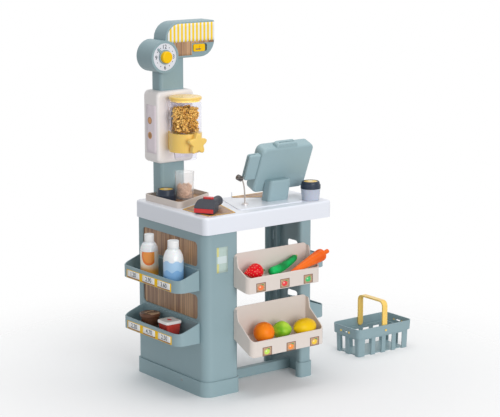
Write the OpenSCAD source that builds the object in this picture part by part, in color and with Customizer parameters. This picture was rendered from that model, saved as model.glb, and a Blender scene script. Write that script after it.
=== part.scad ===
// Toy market stall: two end panels, a counter, display trays, a food dispenser,
// a turning clock under a shop sign, a till, a hand scanner, groceries and a basket.
// Lengths are in millimetres. X runs along the customer side, Y to the back, Z up.

/* [Stall frame] */
// Width over the two end panels
stall_w = 344; // [320:1:380]
// Depth of the left end panel
stall_d = 313; // [300:1:340]
// Depth of the right end panel
right_d = 176; // [170:1:182]
// Distance from the front of the panels to the middle of the floor rail
rail_setback = 97; // [80:1:110]
// Wall of the end panels
panel_wall = 3; // [2.5:0.1:3.6]
// Radius of the left front corner
corner_r = 25; // [15:1:30]
// Width of the left panel's front return
return_l = 103; // [95:1:110]
// Width of the right panel's front return
return_r = 36; // [30:1:42]
// Width of the left panel's rear return
rear_return = 40; // [30:1:50]
// Radius of the small panel corners
panel_edge_r = 8; // [5:0.5:10]
// Height of the plinths
plinth_h = 40; // [36:1:50]
// How far a plinth stands proud of its panel
plinth_lip = 4; // [3:0.5:6]
// Depth of the socket that a panel stands in
plinth_socket = 12; // [8:1:14]
// Height of the floor rail
rail_h = 26; // [20:1:27]
// Thickness of the floor rail
rail_t = 18; // [12:1:22]

/* [Windows] */
// Distance of the left windows behind the front of the panels
window_y = 34; // [33:1:40]
// Length of a left window
window_l = 249; // [230:1:255]
// Height of a left window
window_h = 64; // [56:1:68]
// Height of the upper window's sill above the floor
window_z = 338; // [335:1:342]
// Radius of the window corners
window_r = 12; // [8:1:18]
// Thickness of the plank-print board behind the windows
board_t = 2; // [1.5:0.1:3]
// How far the board reaches past the windows
board_lap = 8; // [4:1:10]

/* [Side shelves] */
// Depth of a side shelf
shelf_d = 70; // [60:1:75]
// Distance of the shelves behind the front of the panels
shelf_y = 23; // [20:1:28]
// Length of a left shelf
shelf_l = 260; // [250:1:270]
// Length of a right shelf
right_shelf_l = 137; // [125:1:140]
// Radius of the shelf's outer corners
shelf_r = 25; // [15:1:28]
// Wall of a shelf
shelf_wall = 3; // [2.5:0.1:3.5]
// Height of the shelf's outer wall
shelf_front_h = 32; // [28:1:40]
// Height of the shelf's wall against the panel
shelf_back_h = 54; // [48:1:60]
// Height of the upper left shelf above the floor
shelf_z = 279; // [270:1:285]
// Height between the two shelves of one panel
shelf_pitch = 138; // [130:0.5:142]
// How much higher the right shelves hang
right_shelf_rise = 5; // [0:1:10]

/* [Counter] */
// Height of the counter's lower edge
counter_z = 425; // [410:1:450]
// Height of the counter
counter_t = 44; // [38:1:50]
// Thickness of the counter's top
top_wall = 3; // [2.5:0.1:4]
// Thickness of the counter's skirt
skirt_wall = 2.4; // [2:0.1:2.6]
// Overhang at the left and at the rear
over_left = 3.4; // [3.2:0.1:5]
// Overhang at the front
over_front = 5; // [4:0.5:8]
// Overhang at the right
over_right = 66; // [50:1:70]
// Depth of the right arm, from the front of the panels
right_arm_d = 194; // [188:1:205]
// Width of the left arm, from the left panel's outer face
left_arm_w = 172; // [166:1:182]
// Radius of the counter's corners
counter_r = 16; // [10:1:20]
// Radius of the counter's top edge
counter_edge_r = 6; // [4:0.5:8]
// Height of the till's platform
platform_h = 2; // [1:0.5:3]
// Thickness of the plank-print mats
mat_t = 1; // [0.8:0.1:1.5]

/* [Front trays] */
// Width of a front tray
tray_w = 237; // [225:1:240]
// Distance of the front trays from the left panel's outer face
tray_x = 88; // [84:1:92]
// Wall of a front tray
tray_wall = 3; // [2.5:0.1:3.5]
// Radius of the front tray's corners
tray_r = 14; // [8:1:16]
// Height of the upper tray's back plate
upper_back_h = 86; // [80:1:90]
// Height of the upper tray's rear lower edge above the floor
upper_z = 281; // [276:1:286]
// Depth of the upper tray
upper_d = 62; // [60:1:66]
// Fall of the upper tray's floor to the front
upper_fall = 10; // [8:1:12]
// Height of the upper tray's floor over its front lower edge
upper_floor_h = 29; // [26:1:32]
// Height of the lower tray's back plate
lower_back_h = 83; // [78:1:88]
// Height of the lower tray's rear lower edge above the floor
lower_z = 144; // [140:1:148]
// Depth of the lower tray
lower_d = 80; // [76:1:84]
// Fall of the lower tray's floor to the front
lower_fall = 36.5; // [34:0.5:38]
// Height of the lower tray's floor over its front lower edge
lower_floor_h = 24.5; // [22:0.5:27]
// Height of a tray's front wall
tray_front_h = 40; // [36:1:44]
// Depth of the back plate's side flanges
flange_d = 19; // [15:1:22]
// Height of the side walls below the back plate's top
flange_drop = 34; // [30:1:38]

/* [Column and corner tray] */
// Distance of the column's middle from the left panel's outer face
column_x = 89.5; // [87:0.5:92]
// Distance of the column's face behind the front of the panels
column_y = 268; // [267:0.5:270]
// Width of the column
column_w = 77; // [70:1:80]
// Depth of the column
column_d = 45; // [42:0.5:45]
// Radius of the column's edges
column_r = 10; // [6:1:14]
// Wall of the column
column_wall = 3; // [2.5:0.1:4]
// Height of the corner tray's rim
corner_tray_h = 17; // [14:1:20]
// Wall and floor of the corner tray
corner_tray_wall = 3; // [2.5:0.1:3]

/* [Dispenser] */
// Width of the dispenser's housing
housing_w = 117; // [110:1:122]
// Height of the dispenser's housing
housing_h = 190; // [180:1:194]
// Height of the housing's lower edge over the counter
housing_z = 99; // [95:1:110]
// How far the housing stands in front of the column
housing_front = 14; // [12:1:18]
// How far the housing stands behind the column
housing_rear = 5; // [4:0.5:7]
// Radius of the housing's corners
housing_r = 14; // [10:1:18]
// Outer radius of the hopper
hopper_r = 41.5; // [40:0.5:42]
// Wall of the hopper
hopper_wall = 1.6; // [1.2:0.1:2.2]
// Height of the hopper
hopper_h = 87; // [80:1:92]
// Thickness of the hopper's lid
lid_t = 7; // [6:0.5:9]
// Outer radius of the dispenser's base
base_r = 43; // [42.5:0.5:45]
// Height of the dispenser's base over the counter
base_z = 135; // [130:1:140]
// Height of the dispenser's base
base_h = 49; // [48:0.5:54]
// Radius of the paddle chamber
chamber_r = 20; // [18:0.5:21]
// Radius of the knob's shaft
shaft_r = 4; // [3:0.25:5]
// Radius over the tips of the star knob
knob_r = 28.5; // [25:0.5:30]
// Radius between the tips of the star knob
knob_waist_r = 18; // [15:1:20]
// Thickness of the star knob
knob_t = 15; // [12:1:18]
// Number of paddle blades
blade_count = 4; // [3:1:6]

/* [Sign and clock] */
// Width of the sign
sign_w = 157; // [150:1:170]
// Height of the sign
sign_h = 94.5; // [90:0.5:98]
// Depth of the sign
sign_d = 57; // [56:1:60]
// Height of the sign's lower edge over the counter
sign_z = 371; // [364:1:378]
// Distance of the sign's left edge from the column's middle
sign_left = 25.5; // [22:0.5:28]
// Large radius of the sign's corners
sign_r = 44; // [30:1:46]
// Outer radius of the clock drum
clock_r = 42; // [38:1:44]
// Distance of the clock's middle left of the column's middle
clock_x = 36.5; // [34:0.5:38]
// Height of the clock's middle over the sign's lower edge
clock_z = 8; // [4:0.5:12]
// How far the clock drum stands in front of the sign
clock_front = 14; // [10:1:18]
// Radius of the clock's white face
face_r = 35.8; // [33:0.1:36]
// Radius of the clock's hub
hub_r = 15.5; // [12:0.5:17]
// Length of the clock's pointer
pointer_l = 32; // [26:0.5:33]
// Width of the slider's slot
slot_w = 45.8; // [42:0.2:50]
// Height of the slider's slot
slot_h = 20; // [16:1:22]
// Travel of the slider
slider_travel = 8.5; // [6:0.5:12]

/* [Till] */
// Width of the till's casing
till_w = 171; // [160:1:175]
// Height of the till's casing
till_h = 131; // [122:1:138]
// Depth of the till's rear shell
till_shell_d = 22; // [20:1:25]
// Depth of the till's front bezel
till_bezel_d = 12; // [10:1:15]
// Distance of the till's middle from the left panel's outer face
till_x = 307.5; // [300:0.5:312]
// Distance of the till's lower edge behind the front of the panels
till_y = 98; // [94:1:102]
// Height of the till's lower edge over the counter
till_lift = 23; // [18:1:28]
// Backward tilt of the till's screen, in degrees
till_tilt = 22; // [18:1:26]
// Width of the till's stand
stand_w = 68; // [60:1:72]
// Depth of the till's stand
stand_d = 37; // [34:1:40]
// Travel of the till's buttons
button_travel = 2; // [1.5:0.1:2.5]

/* [Scanner and microphone] */
// Length of the scanner's head
scanner_l = 58; // [52:1:64]
// Width of the scanner's head
scanner_w = 56; // [48:1:58]
// Height of the scanner's head
scanner_h = 34; // [30:1:38]
// Length of the scanner's handle
scanner_grip_l = 50; // [45:1:58]
// Radius of the scanner's handle
scanner_grip_r = 13; // [11:0.5:14]
// Height of the microphone over the counter
mic_h = 74; // [65:1:82]

/* [Cups and pots] */
// Rim radius of the clear cup
cup_r = 26; // [24:0.5:27]
// Height of the clear cup
cup_h = 71; // [65:1:78]
// Radius of the loose lid
loose_lid_r = 26; // [24:0.5:26]
// Height of the loose lid
loose_lid_h = 30; // [26:1:34]
// Rim radius of the takeaway cup
takeaway_r = 26; // [24:0.5:27]
// Height of the takeaway cup
takeaway_h = 30; // [26:1:32]
// Wall of the cups
cup_wall = 1.6; // [1.2:0.1:2]

/* [Groceries] */
// Radius of the juice bottle
juice_r = 23.5; // [21:0.5:25]
// Height of the juice bottle
juice_h = 118; // [108:1:122]
// Radius of the milk bottle
milk_r = 26; // [23:0.5:26.5]
// Height of the milk bottle
milk_h = 120; // [110:1:124]
// Radius of the dessert tub's lid
tub_r = 27; // [24:0.5:28]
// Height of the dessert tub
tub_h = 46; // [40:1:50]
// Width of the jelly pot's lid
jelly_w = 48; // [42:1:50]
// Height of the jelly pot
jelly_h = 46; // [40:1:50]

/* [Play food] */
// Largest radius of the strawberry
berry_r = 21; // [18:0.5:22]
// Length of the strawberry
berry_l = 66; // [58:1:67]
// Radius of the cucumber
cucumber_r = 12.3; // [10:0.1:12.5]
// Largest radius of the carrot
carrot_r = 17; // [15:0.5:17]
// Radius of the orange
orange_r = 27.3; // [25:0.1:28]
// Radius of the green pepper
pepper_r = 22.5; // [20:0.5:23]
// Largest radius of the lemon
lemon_r = 23; // [21:0.5:24]
// Length of the lemon
lemon_l = 74; // [66:1:75]

/* [Basket] */
// Length of the basket over its rim
basket_l = 200; // [190:1:215]
// Width of the basket over its rim
basket_w = 116; // [110:1:122]
// Height of the basket
basket_h = 80; // [74:1:86]
// Wall of the basket
basket_wall = 2.5; // [2:0.1:3]
// Draft of the basket's walls from rim to floor
basket_draft = 8; // [5:0.5:10]
// Height of the basket's plain upper band
band_h = 26; // [22:1:30]
// Height of the handle's pivot
pivot_z = 66; // [65.7:0.1:68]
// Height of the handle over its pivot
handle_h = 82; // [74:1:84]
// Width of the handle's strap
strap_w = 17; // [14:1:17.5]
// Thickness of the handle's strap
strap_t = 4; // [3:0.5:5]
// Radius of the handle's pivot pins
pivot_r = 3; // [2.5:0.1:3.5]
// Distance of the basket's middle from the stall's right panel
basket_gap = 299; // [260:1:340]

/* [Hidden] */
$fn = 48;

// Overrun of every cut
over = 1;
// Clearance between pieces that move past each other
gap = 0.4;
// Running clearance of a pin in its bore
run = 0.05;
// Clearance between pieces that plug together
plug = 0.2;
// Steps of a corner arc and of a rounded edge
arc_n = 6;
edge_n = 3;
// Least radius of a corner
least_r = 0.3;

// Colours as the photograph shows them
sage = [0.48, 0.58, 0.55];
white = [0.94, 0.94, 0.93];
beige = [0.87, 0.79, 0.68];
yellow = [0.95, 0.74, 0.28];
wood = [0.72, 0.52, 0.33];
clear = [0.85, 0.88, 0.90, 0.45];
dark = [0.25, 0.25, 0.27];
navy = [0.17, 0.20, 0.30];
red = [0.80, 0.14, 0.12];

// Panel details
lip_d = 15;
right_rear_return = 20;
slit_w = 4;
slit_h = 25;
slit_y = 160;
slit_z = 344;
right_window_y = 56;
right_window_l = 44;
right_window_top = 357;
right_window_h = 22;
panel_rib_d = 12;
panel_rib_y = 130;
shelf_edge_r = 3;
slope_share = 0.85;

// Counter details
notch_r = 14;
rib_t = 2;
rib_h = 14;
rib_shares = [0.45, 0.6, 0.75];
platform_r = 10;
platform_shares = [[0.378, 0.165], [0.98, 0.134], [0.98, 0.958], [0.53, 0.958]];
front_mat_shares = [[0.058, 0.0491], [0.308, 0.0491], [0.452, 0.7148], [0.058, 0.4777]];
rear_mat_shares = [[0.622, 0.876], [0.826, 0.639], [0.955, 0.639], [0.955, 0.94], [0.622, 0.94]];
mat_r = 5;
corner_tray_shares = [[0.052, 0.5034], [0.465, 0.7575], [0.465, 1.1083], [0.041, 1.1083]];
corner_tray_r = 12;
peg_r = 1.2;
peg_h = 14;
peg_x = 218;

// Front tray details
flange_top_d = 12;
flange_r = 6;
elbow_r = 10;
tray_edge_r = 2;

// Dispenser details
housing_wall = 3;
housing_edge_r = 8;
paddle_z = 25;
chamber_front = 26;
chamber_rear = 22;
shaft_tail = 8;
funnel_low = 11;
funnel_r1 = 16;
funnel_r2 = 38.5;
outlet_w = 26;
outlet_inset = 5;
bracket_w = 50;
rotor_hub_r = 7;
blade_t = 2.4;
knob_gap = 1.5;
knob_skin = 3;
knob_edge_r = 4;
knob_tips = 5;
knob_steps = 60;
spout_h = 21;
spout_r1 = 29;
spout_r2 = 31;
lid_plug_h = 5;
lid_edge_r = 2;
filling_h = 66;
filling_crown = 5;
crown_share = 0.55;

// Sign and clock details
sign_front = 6;
sign_small_r = 5;
sign_edge_r = 3;
sign_wall = 4;
column_reach = 40;
recess_d = 3;
face_t = 2;
spindle_r = 3;
spindle_l = 12;
pointer_t = 3;
pointer_w = 10;
pointer_angle = 135;
pointer_rim = 3.5;
hub_h = 11;
hub_edge_r = 3;
slot_x = 86.2;
slot_z = 14.3;
slot_d = 10;
slider_proud = 4;
slider_r = 4;
groove_w = 3;
groove_d = 2;

// Till details
till_r = 16;
till_edge_r = 7;
till_wall = 3;
hump_w = 70;
hump_x = -40.5;
hump_h = 10;
hump_inset = 3;
paper_slot_w = 50;
paper_slot_t = 3;
screen_w = 140;
screen_h = 54;
screen_z = 64;
screen_t = 1.5;
screen_r = 5;
keypad_w = 84;
keypad_h = 42;
keypad_z = 12;
keypad_t = 1;
key_r = 8;
key_proud = 3;
key_flange = 2;
key_flange_t = 2;
key_pitch = 20;
key_x = 20;
key_z = 33;
reader_w = 36;
reader_h = 73;
reader_z = 41;
reader_y = 3;
reader_d = 16;
reader_r = 7;
reader_slot_t = 2.5;
reader_slot_d = 22;
stand_x = 253;
stand_y = 68;
stand_lean = 13;
stand_h = 57;
stand_r = 10;
stand_edge_r = 6;

// Scanner and microphone details
scanner_x = 24;
scanner_y = 40;
scanner_yaw = 33;
scanner_r = 6;
scanner_foot_r = 4;
scanner_top_r = 6;
scanner_rear_share = 0.7;
scanner_nose_share = 0.45;
scanner_slope_share = 0.44;
slope_over_share = 1.1;
grip_lap = 10;
grip_end_r = 4;
window_red_w = 52;
window_red_h = 11;
window_red_z = 3;
window_red_t = 2;
trigger_r = 6;
trigger_l = 16;
trigger_proud = 5;
trigger_sink = 3;
trigger_x = 35;
mic_x = 181;
mic_y = 75;
mic_base_r = 9;
mic_base_h = 4;
mic_stem_r = 1.8;
mic_reach = 17;
mic_head_r = 7.5;
mic_head_l = 20;
mic_head_tilt = 60;
mic_steps = 10;
mic_sides = 8;

// Cups, groceries and their places
cup_x = 101;
cup_y_share = 0.8731;
cup_foot_share = 0.885;
loose_lid_x = 46;
loose_lid_y_share = 0.8955;
takeaway_in = 42;
takeaway_y = 36;
takeaway_lid_r = 26.5;
takeaway_lid_h = 19;
takeaway_plug_h = 4;
lid_dish_share = 0.7;
lid_dish_d = 1.2;
bottle_x = 35;
juice_y = 200;
milk_y = 90;
tub_y = 200;
jelly_y = 110;
juice_shares = [[0, 0], [0.94, 0], [1, 0.03], [1, 0.60], [0.93, 0.66], [0.72, 0.77], [0.58, 0.81],
    [0.58, 0.84], [0.50, 0.84], [0.50, 0.985], [0.45, 1], [0, 1]];
milk_shares = [[0, 0], [0.94, 0], [1, 0.03], [1, 0.56], [0.90, 0.66], [0.66, 0.78], [0.52, 0.83],
    [0.60, 0.83], [0.60, 0.86], [0.54, 0.86], [0.54, 0.985], [0.48, 1], [0, 1]];
tub_shares = [[0, 0], [0.70, 0], [0.74, 0.03], [0.90, 0.80], [0.96, 0.80], [1, 0.84], [1, 0.97],
    [0.96, 1], [0, 1]];
jelly_foot_share = 0.8;
jelly_lid_h = 7;
jelly_r = 8;
jelly_lip = 2;

// Food places, from the left panel and in front of the trays' rear faces
berry_x = 94.5;
berry_y = 35;
berry_steps = 14;
stalk_r = 2.5;
stalk_l = 5;
cucumber_x0 = 177;
cucumber_x1 = 279;
cucumber_y0 = 36;
cucumber_y1 = 17;
cucumber_rise = 26;
cucumber_steps = 14;
cucumber_sides = 14;
cucumber_end_share = 0.12;
carrot_x = 229;
carrot_y = 51.2;
carrot_tip_z = 5;
carrot_tilt = 18.4;
carrot_l = 119;
carrot_stub_r = 6;
carrot_stub_l = 17;
carrot_shares = [[0, 0], [0.15, 0], [0.30, 0.08], [0.58, 0.40], [0.86, 0.72], [1, 0.90], [0.94, 0.96],
    [0.70, 1], [0, 1]];
orange_x = 152;
orange_y = 45;
pepper_x = 211;
pepper_y = 43;
pepper_yaw = -25;
pepper_l = 54;
pepper_lobes = 4;
pepper_lobe_share = 0.06;
pepper_steps = 12;
pepper_sides = 32;
lemon_x = 280;
lemon_y = 53;
lemon_tip_share = 0.16;
lemon_steps = 16;

// Basket details
basket_y = 96;
basket_floor = 2.5;
basket_r = 16;
band_step = 6;
band_draft = 1.5;
slat_gap_w = 24;
slat_pitch = 38;
slat_gap_top = 6;
short_pitch = 40;
stud_y = 17;
slot_between_w = 18;
slot_between_h = 4;
handle_r = 16;
pin_proud = 1;

// Levels and places that follow from the sizes above
function fx(a) = a - stall_w / 2;
function fy(b) = b - rail_setback;
counter_top_z = counter_z + counter_t;
platform_z = counter_top_z + platform_h;
panel_z0 = plinth_h - plinth_socket;
panel_z1 = counter_top_z - top_wall;
tray_floor_z = counter_top_z + corner_tray_wall;
housing_z0 = counter_top_z + housing_z;
housing_y0 = fy(column_y - housing_front);
housing_y1 = fy(column_y + column_d + housing_rear);
axis_x = fx(column_x);
axis_y = housing_y0 - base_r - plug;
base_z0 = counter_top_z + base_z;
base_z1 = base_z0 + base_h;
paddle_axis_z = base_z0 + paddle_z;
hopper_top = base_z1 + hopper_h;
hopper_in_r = hopper_r - hopper_wall;
knob_y1 = axis_y - base_r - knob_gap;
knob_y0 = knob_y1 - knob_t;
sign_x0 = axis_x - sign_left;
sign_z0 = counter_top_z + sign_z;
sign_y0 = fy(column_y - sign_front);
sign_y1 = sign_y0 + sign_d;
column_top = sign_z0 + column_reach;
clock_axis_x = axis_x - clock_x;
clock_axis_z = sign_z0 + clock_z;
clock_y0 = sign_y0 - clock_front;
face_y0 = clock_y0 + recess_d - face_t;
slot_x0 = sign_x0 + slot_x;
slot_z0 = sign_z0 + slot_z;
slider_w = slot_w - 2 * gap - slider_travel;
till_z0 = counter_top_z + till_lift;
cup_z = tray_floor_z + mat_t + gap;
upper_floor_z = upper_z - upper_fall + upper_floor_h;
lower_floor_z = lower_z - lower_fall + lower_floor_h;
basket_x = fx(stall_w) + basket_gap;
basket_out_y = basket_w / 2;
ledge_z = basket_h - band_h;
handle_half = basket_out_y - band_draft - basket_wall - gap;

left_outline = [[fx(0), fy(0)], [fx(return_l), fy(0)], [fx(return_l), fy(stall_d)], [fx(0), fy(stall_d)]];
left_radii = [corner_r, panel_edge_r, panel_edge_r, counter_r];
left_open = [[fx(rear_return), fy(lip_d)], [fx(stall_w), fy(lip_d)],
    [fx(stall_w), fy(2 * stall_d)], [fx(rear_return), fy(2 * stall_d)]];
right_outline = [[fx(stall_w - return_r), fy(0)], [fx(stall_w), fy(0)],
    [fx(stall_w), fy(right_d)], [fx(stall_w - return_r), fy(right_d)]];
right_radii = [panel_edge_r, panel_edge_r, panel_edge_r, panel_edge_r];
right_open = [[fx(0), fy(lip_d)], [fx(stall_w - right_rear_return), fy(lip_d)],
    [fx(stall_w - right_rear_return), fy(2 * stall_d)], [fx(0), fy(2 * stall_d)]];
counter_outline = [[fx(-over_left), fy(-over_front)], [fx(stall_w + over_right), fy(-over_front)],
    [fx(stall_w + over_right), fy(right_arm_d)], [fx(left_arm_w), fy(right_arm_d)],
    [fx(left_arm_w), fy(stall_d + over_left)], [fx(-over_left), fy(stall_d + over_left)]];
counter_radii = [counter_r, counter_r, counter_r, notch_r, counter_r, counter_r];
column_outline = [[axis_x - column_w / 2, fy(column_y)], [axis_x + column_w / 2, fy(column_y)],
    [axis_x + column_w / 2, fy(column_y + column_d)], [axis_x - column_w / 2, fy(column_y + column_d)]];
column_radii = [column_r, column_r, column_r, column_r];
sign_outline = [[sign_x0, sign_z0], [sign_x0 + sign_w, sign_z0],
    [sign_x0 + sign_w, sign_z0 + sign_h], [sign_x0, sign_z0 + sign_h]];
sign_radii = [sign_small_r, sign_r, sign_small_r, sign_r];
till_outline = [[-till_w / 2, 0], [till_w / 2, 0], [till_w / 2, till_h], [-till_w / 2, till_h]];
till_radii = [till_r, till_r, till_r, till_r];

// Outline helpers: rounded corners as arcs, moved inwards by inset
function unit(v) = v / norm(v);
function turned(v, a) = [v[0] * cos(a) - v[1] * sin(a), v[0] * sin(a) + v[1] * cos(a)];
function corner(p0, p1, p2, r, inset) =
    let(
        d1 = unit(p1 - p0),
        d2 = unit(p2 - p1),
        n1 = [-d1[1], d1[0]],
        n2 = [-d2[1], d2[0]],
        a = atan2(d1[0] * d2[1] - d1[1] * d2[0], d1 * d2),
        s = sign(a),
        q = p1 + inset * (n1 + n2) / (1 + n1 * n2),
        rr = max(r - s * inset, least_r),
        c = q - d1 * rr * tan(abs(a) / 2) + s * n1 * rr
    )
    [for (i = [0:arc_n]) c - s * rr * turned(n1, a * i / arc_n)];
function rounded(pts, radii, inset = 0) =
    let(n = len(pts))
    [for (i = [0:n - 1]) each corner(pts[(i + n - 1) % n], pts[i], pts[(i + 1) % n], radii[i], inset)];
function box_outline(x0, y0, x1, y1) = [[x0, y0], [x1, y0], [x1, y1], [x0, y1]];
function same(r) = [r, r, r, r];
function ring(pts, z) = [for (p = pts) [p[0], p[1], z]];
function scaled(shares, sizes) = [for (p = shares) [fx(p[0] * sizes[0]), fy(p[1] * sizes[1])]];
function mid(p, q, t) = p * (1 - t) + q * t;

// A closed solid through rings with equal numbers of points. Its ends are fans round the heart of the
// outline, a point that sees all of it, or round the middle where no heart is given
module loft(rings, heart = []) {
    m = len(rings[0]);
    k = len(rings);
    function hub(r) = len(heart) > 0 ? [heart[0], heart[1], r[0][2]] : [for (p = r) 1] * r / m;
    polyhedron(
        points = concat([for (r = rings) each r], [hub(rings[0]), hub(rings[k - 1])]),
        faces = concat(
            [for (i = [0:m - 1]) [k * m, i, (i + 1) % m]],
            [for (i = [0:m - 1]) [k * m + 1, (k - 1) * m + (i + 1) % m, (k - 1) * m + i]],
            [for (j = [0:k - 2]) for (i = [0:m - 1]) each [
                [j * m + i, (j + 1) * m + i, (j + 1) * m + (i + 1) % m],
                [j * m + i, (j + 1) * m + (i + 1) % m, j * m + (i + 1) % m]
            ]]
        )
    );
}

// Upright prism between two levels
module prism(pts, z0, z1) {
    translate([0, 0, z0])
        linear_extrude(z1 - z0)
            polygon(pts);
}

// Outline in Y and Z, drawn out along X
module along_x(x0, x1) {
    translate([x0, 0, 0])
        rotate([90, 0, 90])
            linear_extrude(x1 - x0)
                children();
}

// Outline in X and Z, drawn out along Y
module along_y(y0, y1) {
    translate([0, y1, 0])
        rotate([90, 0, 0])
            linear_extrude(y1 - y0)
                children();
}

// Round bar along Y
module bar_y(x, y0, y1, z, r) {
    translate([x, y0, z])
        rotate([-90, 0, 0])
            cylinder(r = r, h = y1 - y0);
}

// Plate with rounded lower and upper edges
module slab(pts, radii, z0, z1, low_r, top_r, heart = []) {
    low = low_r > 0 ? [for (i = [0:edge_n - 1])
        ring(rounded(pts, radii, low_r * (1 - sin(90 * i / edge_n))),
            z0 + low_r * (1 - cos(90 * i / edge_n)))] : [];
    top = top_r > 0 ? [for (i = [1:edge_n])
        ring(rounded(pts, radii, top_r * (1 - cos(90 * i / edge_n))),
            z1 - top_r + top_r * sin(90 * i / edge_n))] : [];
    loft(concat(low, [ring(rounded(pts, radii), z0 + low_r), ring(rounded(pts, radii), z1 - top_r)], top),
        heart);
}

// The same plate standing up, with its front edge at y0
module slab_y(pts, radii, y0, y1, front_r, rear_r) {
    rotate([90, 0, 0])
        slab(pts, radii, -y1, -y0, rear_r, front_r);
}

// C-shaped panel shell that stands in its plinth and carries the counter
module panel_shell(outline, radii, open) {
    difference() {
        prism(rounded(outline, radii), panel_z0, panel_z1);
        prism(rounded(outline, radii, panel_wall), panel_z0 - over, panel_z1 + over);
        prism(open, panel_z0 - over, panel_z1 + over);
    }
}

module plinth_shell(outline, radii, open) {
    difference() {
        prism(rounded(outline, radii, -plinth_lip), 0, plinth_h);
        prism(rounded(outline, radii, panel_wall), -over, plinth_h + over);
        prism(rounded(outline, radii, -plug), panel_z0, plinth_h + over);
        prism(open, -over, plinth_h + over);
    }
}

// Cut through a panel wall, with rounded corners
module wall_cut(x0, y0, y1, z0, z1, r) {
    along_x(x0 - over, x0 + panel_wall + over)
        polygon(rounded(box_outline(y0, z0, y1, z1), same(r)));
}

module left_end_panel() {
    color(sage)
        difference() {
            panel_shell(left_outline, left_radii, left_open);
            for (i = [0, 1])
                wall_cut(fx(0), fy(window_y), fy(window_y + window_l), window_z - i * shelf_pitch,
                    window_z - i * shelf_pitch + window_h, window_r);
        }
}

module left_plinth() {
    color(sage)
        plinth_shell(left_outline, left_radii, left_open);
}

module left_wood_board() {
    color(wood)
        translate([fx(panel_wall), fy(window_y - board_lap), window_z - shelf_pitch - board_lap])
            cube([board_t, window_l + 2 * board_lap, window_h + shelf_pitch + 2 * board_lap]);
}

// Side tray that hangs on the left panel's outer face
module side_shelf(length, z0) {
    x0 = fx(-shelf_d);
    y0 = fy(shelf_y);
    y1 = y0 + length;
    outline = box_outline(x0, y0, fx(0), y1);
    radii = [shelf_r, shelf_edge_r, shelf_edge_r, shelf_r];
    color(sage)
        difference() {
            intersection() {
                prism(rounded(outline, radii), z0, z0 + shelf_back_h);
                along_y(y0 - over, y1 + over)
                    polygon([[x0 - over, z0 - over], [fx(over), z0 - over], [fx(over), z0 + shelf_back_h],
                        [fx(0), z0 + shelf_back_h], [fx(-slope_share * shelf_d), z0 + shelf_front_h],
                        [x0 - over, z0 + shelf_front_h]]);
            }
            prism(rounded(outline, radii, shelf_wall), z0 + shelf_wall, z0 + shelf_back_h + over);
        }
}

module left_shelf_upper() {
    side_shelf(shelf_l, shelf_z);
}

module left_shelf_lower() {
    side_shelf(shelf_l, shelf_z - shelf_pitch);
}

module right_end_panel() {
    x_in = fx(stall_w - panel_wall);
    color(sage) {
        difference() {
            panel_shell(right_outline, right_radii, right_open);
            for (i = [0, 1]) {
                top = right_window_top - i * shelf_pitch;
                wall_cut(x_in, fy(right_window_y), fy(right_window_y + right_window_l),
                    top - right_window_h, top, panel_edge_r);
                wall_cut(x_in, fy(slit_y), fy(slit_y) + slit_w, slit_z - i * shelf_pitch,
                    slit_z - i * shelf_pitch + slit_h, least_r);
            }
        }
        translate([x_in - panel_rib_d, fy(panel_rib_y), panel_z0])
            cube([panel_rib_d + panel_wall / 2, rib_t, panel_z1 - panel_z0]);
    }
}

module right_plinth() {
    color(sage)
        plinth_shell(right_outline, right_radii, right_open);
}

module right_shelf_upper() {
    mirror([1, 0, 0])
        side_shelf(right_shelf_l, shelf_z + right_shelf_rise);
}

module right_shelf_lower() {
    mirror([1, 0, 0])
        side_shelf(right_shelf_l, shelf_z + right_shelf_rise - shelf_pitch);
}

module floor_crossbar() {
    color(sage)
        along_x(fx(panel_wall), fx(stall_w - panel_wall))
            polygon(rounded(box_outline(-rail_t / 2, 0, rail_t / 2, rail_h),
                [tray_edge_r, tray_edge_r, tray_edge_r, tray_edge_r]));
}

// L-shaped moulding, open below, with ribs, the till's platform and a peg
module counter_top() {
    color(white) {
        difference() {
            slab(counter_outline, counter_radii, counter_z, counter_top_z, 0, counter_edge_r,
                [fx(left_arm_w / 2), fy(right_arm_d / 2)]);
            prism(rounded(counter_outline, counter_radii, skirt_wall), counter_z - over, panel_z1);
        }
        for (s = rib_shares)
            translate([fx(s * stall_w), fy(0) - over_front + skirt_wall / 2, panel_z1 - rib_h])
                cube([rib_t, right_arm_d + over_front - skirt_wall, rib_h + top_wall / 2]);
        slab(scaled(platform_shares, [stall_w, right_arm_d]), same(platform_r), counter_top_z - top_wall / 2,
            platform_z, 0, platform_h / 2);
        translate([fx(peg_x), fy(right_arm_d - counter_edge_r - 4 * peg_r), counter_top_z - top_wall / 2])
            cylinder(r = peg_r, h = peg_h + top_wall / 2);
    }
}

// Printed plank sheets on the counter and in the corner tray
module wood_inlays() {
    color(wood) {
        prism(rounded(scaled(front_mat_shares, [stall_w, column_y]), same(mat_r)),
            counter_top_z, counter_top_z + mat_t);
        prism(rounded(scaled(rear_mat_shares, [stall_w, right_arm_d]), [for (p = rear_mat_shares) mat_r]),
            platform_z, platform_z + mat_t);
        difference() {
            prism(rounded(scaled(corner_tray_shares, [stall_w, column_y]), same(corner_tray_r),
                corner_tray_wall + plug), tray_floor_z, tray_floor_z + mat_t);
            prism(rounded(column_outline, column_radii, -plug), counter_top_z, tray_floor_z + mat_t + over);
        }
    }
}

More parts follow.
